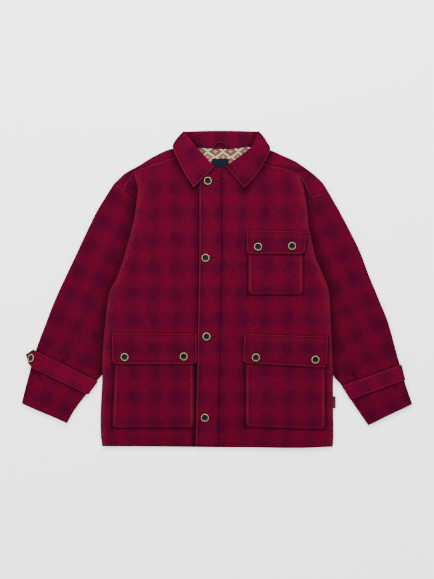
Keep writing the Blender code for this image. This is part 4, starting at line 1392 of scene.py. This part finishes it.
def make_bar_tacks(bags):
    """A short dense bar of thread near the outer lower corner of each hip pocket."""
    heap = Heap()
    for bag, centre in ((bags[0], At(-253.5, -316)), (bags[1], At(266, -321))):
        for step in range(9):
            place = (centre.x + (step - 4) * 0.75, centre.y + (0.15 if step % 2 else -0.15))
            heap.bar(place, pi / 2, bag.over(*place), 2.0, 0.9, 0.5)
    heap.made("bar_tacks", ["seam"])


# Buttons

# Each hole's distance from the middle along x and along y
HOLE_AT = 2.3 / 1.4142
HOLE_RADIUS = 0.85
HOLE_DEPTH = 1.5
BUTTON_SPOKES = 48
# Radius and height, from the dished floor over the rim to the back
FLOOR_RADIUS = 4.4
FLOOR_TOP = 2.15
FLOOR_DISH = 0.15
FLOOR_CELLS = 28
BUTTON_PROFILE = (
    (4.4, 2.15), (5.2, 2.25), (5.9, 2.6), (6.5, 3.05), (7.0, 3.3), (7.25, 3.34), (7.35, 3.3),
    (7.45, 3.36), (7.9, 3.52), (8.1, 3.58), (8.8, 3.5), (9.4, 3.2), (9.75, 2.8), (9.85, 2.72), (9.95, 2.6),
    (10.2, 2.25), (10.25, 1.8), (9.9, 1.0), (9.2, 0.45), (7.2, 0.1),
)
# The pale ring's inner and outer radius, on the upper side only
RING_FROM = 8.05
RING_TO = 9.3
RIM_INDEX = 15
# How far each button is turned on from the last, in degrees, and how far it lies over its cloth
BUTTON_TURN = 37
BUTTON_GAP = 0.1
# Crossed pairs of strands between opposite holes, the second pair lying on the first
STRAND_OFF = 0.22
STRAND_LIFT = 0.05


def floor_point(column, row):
    """A place on the button's dished floor, sunk where it is over one of the four holes."""
    x, y = (column / FLOOR_CELLS * 2 - 1), (row / FLOOR_CELLS * 2 - 1)
    length = max(abs(x), abs(y))
    scale = FLOOR_RADIUS * length / hypot(x, y) if length else 0.0
    x, y = x * scale, y * scale
    dip = 0.0
    for sx in (-1, 1):
        for sy in (-1, 1):
            off = hypot(x - sx * HOLE_AT, y - sy * HOLE_AT)
            dip = max(dip, float(1.0 - smooth((off - 0.72 * HOLE_RADIUS) / (0.42 * HOLE_RADIUS))))
    dish = FLOOR_DISH * (1 - (hypot(x, y) / FLOOR_RADIUS) ** 2)
    return x, y, FLOOR_TOP - HOLE_DEPTH * dip - dish


def button_mesh(name, matrix):
    """A turned button: dished middle with four holes and crossed thread, and a pale ring."""
    heap = Heap()
    for radius, z in BUTTON_PROFILE:
        for spoke in range(BUTTON_SPOKES):
            angle = 2 * pi * spoke / BUTTON_SPOKES
            heap.points.append((radius * cos(angle), radius * sin(angle), z))
    for index in range(len(BUTTON_PROFILE) - 1):
        middle = (BUTTON_PROFILE[index][0] + BUTTON_PROFILE[index + 1][0]) / 2
        pale = index < RIM_INDEX and RING_FROM < middle < RING_TO
        heap.ring(index * BUTTON_SPOKES, (index + 1) * BUTTON_SPOKES, BUTTON_SPOKES, 1 if pale else 0)
    back = (len(BUTTON_PROFILE) - 1) * BUTTON_SPOKES
    heap.face([back + spoke for spoke in reversed(range(BUTTON_SPOKES))])

    base, side = len(heap.points), FLOOR_CELLS + 1
    heap.points += [floor_point(column, row) for column in range(side) for row in range(side)]
    for column in range(FLOOR_CELLS):
        for row in range(FLOOR_CELLS):
            corner = base + column * side + row
            heap.face([corner, corner + side, corner + side + 1, corner + 1])
    for lift, heading in ((0.0, pi / 4), (STRAND_OFF, 3 * pi / 4)):
        for strand in (-STRAND_OFF, STRAND_OFF):
            place = np.array([-sin(heading), cos(heading)]) * strand
            heap.bar(place, heading, FLOOR_TOP + STRAND_LIFT + lift,
                     2 * hypot(HOLE_AT, HOLE_AT) + 0.7, 0.55, 0.42, finish=2)
    made = heap.made(f"turned_{name}", ["black", "ring", "thread"])
    made.data.transform(matrix)
    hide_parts(f"button_{name}")


def make_buttons(placket, flaps):
    rows = [("front", FRONT_BUTTONS, placket)]
    rows += [(pocket.name, pocket.buttons, flap) for pocket, flap in zip(POCKETS, flaps)]
    turn = 0
    for row, places, carrier in rows:
        for number, place in enumerate(places, start=1):
            turn += BUTTON_TURN
            base = carrier.over(place.x, place.y) + BUTTON_GAP
            matrix = Matrix.Translation((place.x * MM, place.y * MM, base * MM))
            matrix = matrix @ Matrix.Rotation(radians(turn), 4, "Z")
            button_mesh(f"{row}_{number}", matrix)
    upper, lower = TAB_FOLD_LINE
    heading = atan2(lower.y - upper.y, lower.x - upper.x)
    lean = np.arctan(TAB_SLOPE)
    tilt = Matrix.Rotation(heading, 4, "Z") @ Matrix.Rotation(lean, 4, "X")
    base = TAB_AT_EDGE - TAB_SLOPE * beyond_sleeve(*TAB_BUTTON) + 3 * SEAM_GAP / cos(lean)
    base += float(relief(*TAB_BUTTON))
    matrix = Matrix.Translation((TAB_BUTTON.x * MM, TAB_BUTTON.y * MM, base * MM)) @ tilt
    button_mesh("cuff_tab", matrix)


# Floor, light and camera

CAMERA_AT = (0.0, -0.00025, 3.4115)
LENS = 85.0
FLOOR_SIZE = 6.0
FLOOR_LEVEL = -0.0004
# The floor's own faint light, which brings it nearer to the photo's white
FLOOR_GLOW = 0.7
Light = namedtuple("Light", "name place size power")
LIGHTS = (
    Light("key", (0.25, 2.2, 1.9), 1.6, 150.0),
    Light("fill", (-1.9, 0.4, 2.3), 2.4, 64.0),
)
WORLD_STRENGTH = 1.36


def make_stage():
    nodes = Nodes("floor_pale")
    spots = nodes.noise(nodes.millimetres(), 0.004, detail=2.0)
    nodes.finish(nodes.ramp(spots, (0.2, (0.94, 0.94, 0.94, 1)), (0.8, (0.96, 0.96, 0.96, 1))), 0.9)
    nodes.shader.inputs["Emission Color"].default_value = (1, 1, 1, 1)
    nodes.shader.inputs["Emission Strength"].default_value = FLOOR_GLOW
    half = FLOOR_SIZE / 2
    corners = [(-half, -half, 0), (half, -half, 0), (half, half, 0), (-half, half, 0)]
    mesh = bpy.data.meshes.new("floor")
    mesh.from_pydata(corners, [], [[0, 1, 2, 3]])
    mesh.materials.append(nodes.made)
    floor = bpy.data.objects.new("floor", mesh)
    floor.location.z = FLOOR_LEVEL
    bpy.context.scene.collection.objects.link(floor)


def make_lights():
    world = bpy.data.worlds.new("studio")
    bpy.context.scene.world = world
    world.use_nodes = True
    background = world.node_tree.nodes["Background"].inputs
    background["Color"].default_value = (1, 1, 1, 1)
    background["Strength"].default_value = WORLD_STRENGTH
    for light in LIGHTS:
        data = bpy.data.lights.new(light.name, "AREA")
        data.shape = "DISK"
        data.size = light.size
        data.energy = light.power
        lamp = bpy.data.objects.new(light.name, data)
        lamp.location = light.place
        lamp.rotation_euler = (-Vector(light.place)).to_track_quat("-Z", "Y").to_euler()
        bpy.context.scene.collection.objects.link(lamp)


def make_camera():
    data = bpy.data.cameras.new("camera")
    data.lens = LENS
    data.sensor_width = 36.0
    data.clip_end = 50.0
    camera = bpy.data.objects.new("camera", data)
    camera.location = CAMERA_AT
    bpy.context.scene.collection.objects.link(camera)
    bpy.context.scene.camera = camera


make_stage()
make_lights()
make_camera()
make_back()
front_r, front_l, placket = make_fronts()
yokes = make_yokes()
make_sleeves()
stand, leaves = make_collar()
make_neck_trim()
make_loop()
make_side_label()
bags, flaps = make_pockets()
tabs = make_cuff_tabs()
sew_all([front_r, front_l, placket, stand, *yokes, *leaves, *bags, *flaps, *tabs])
make_buttonholes(placket, flaps, tabs[0])
make_bar_tacks(bags)
make_buttons(placket, flaps)
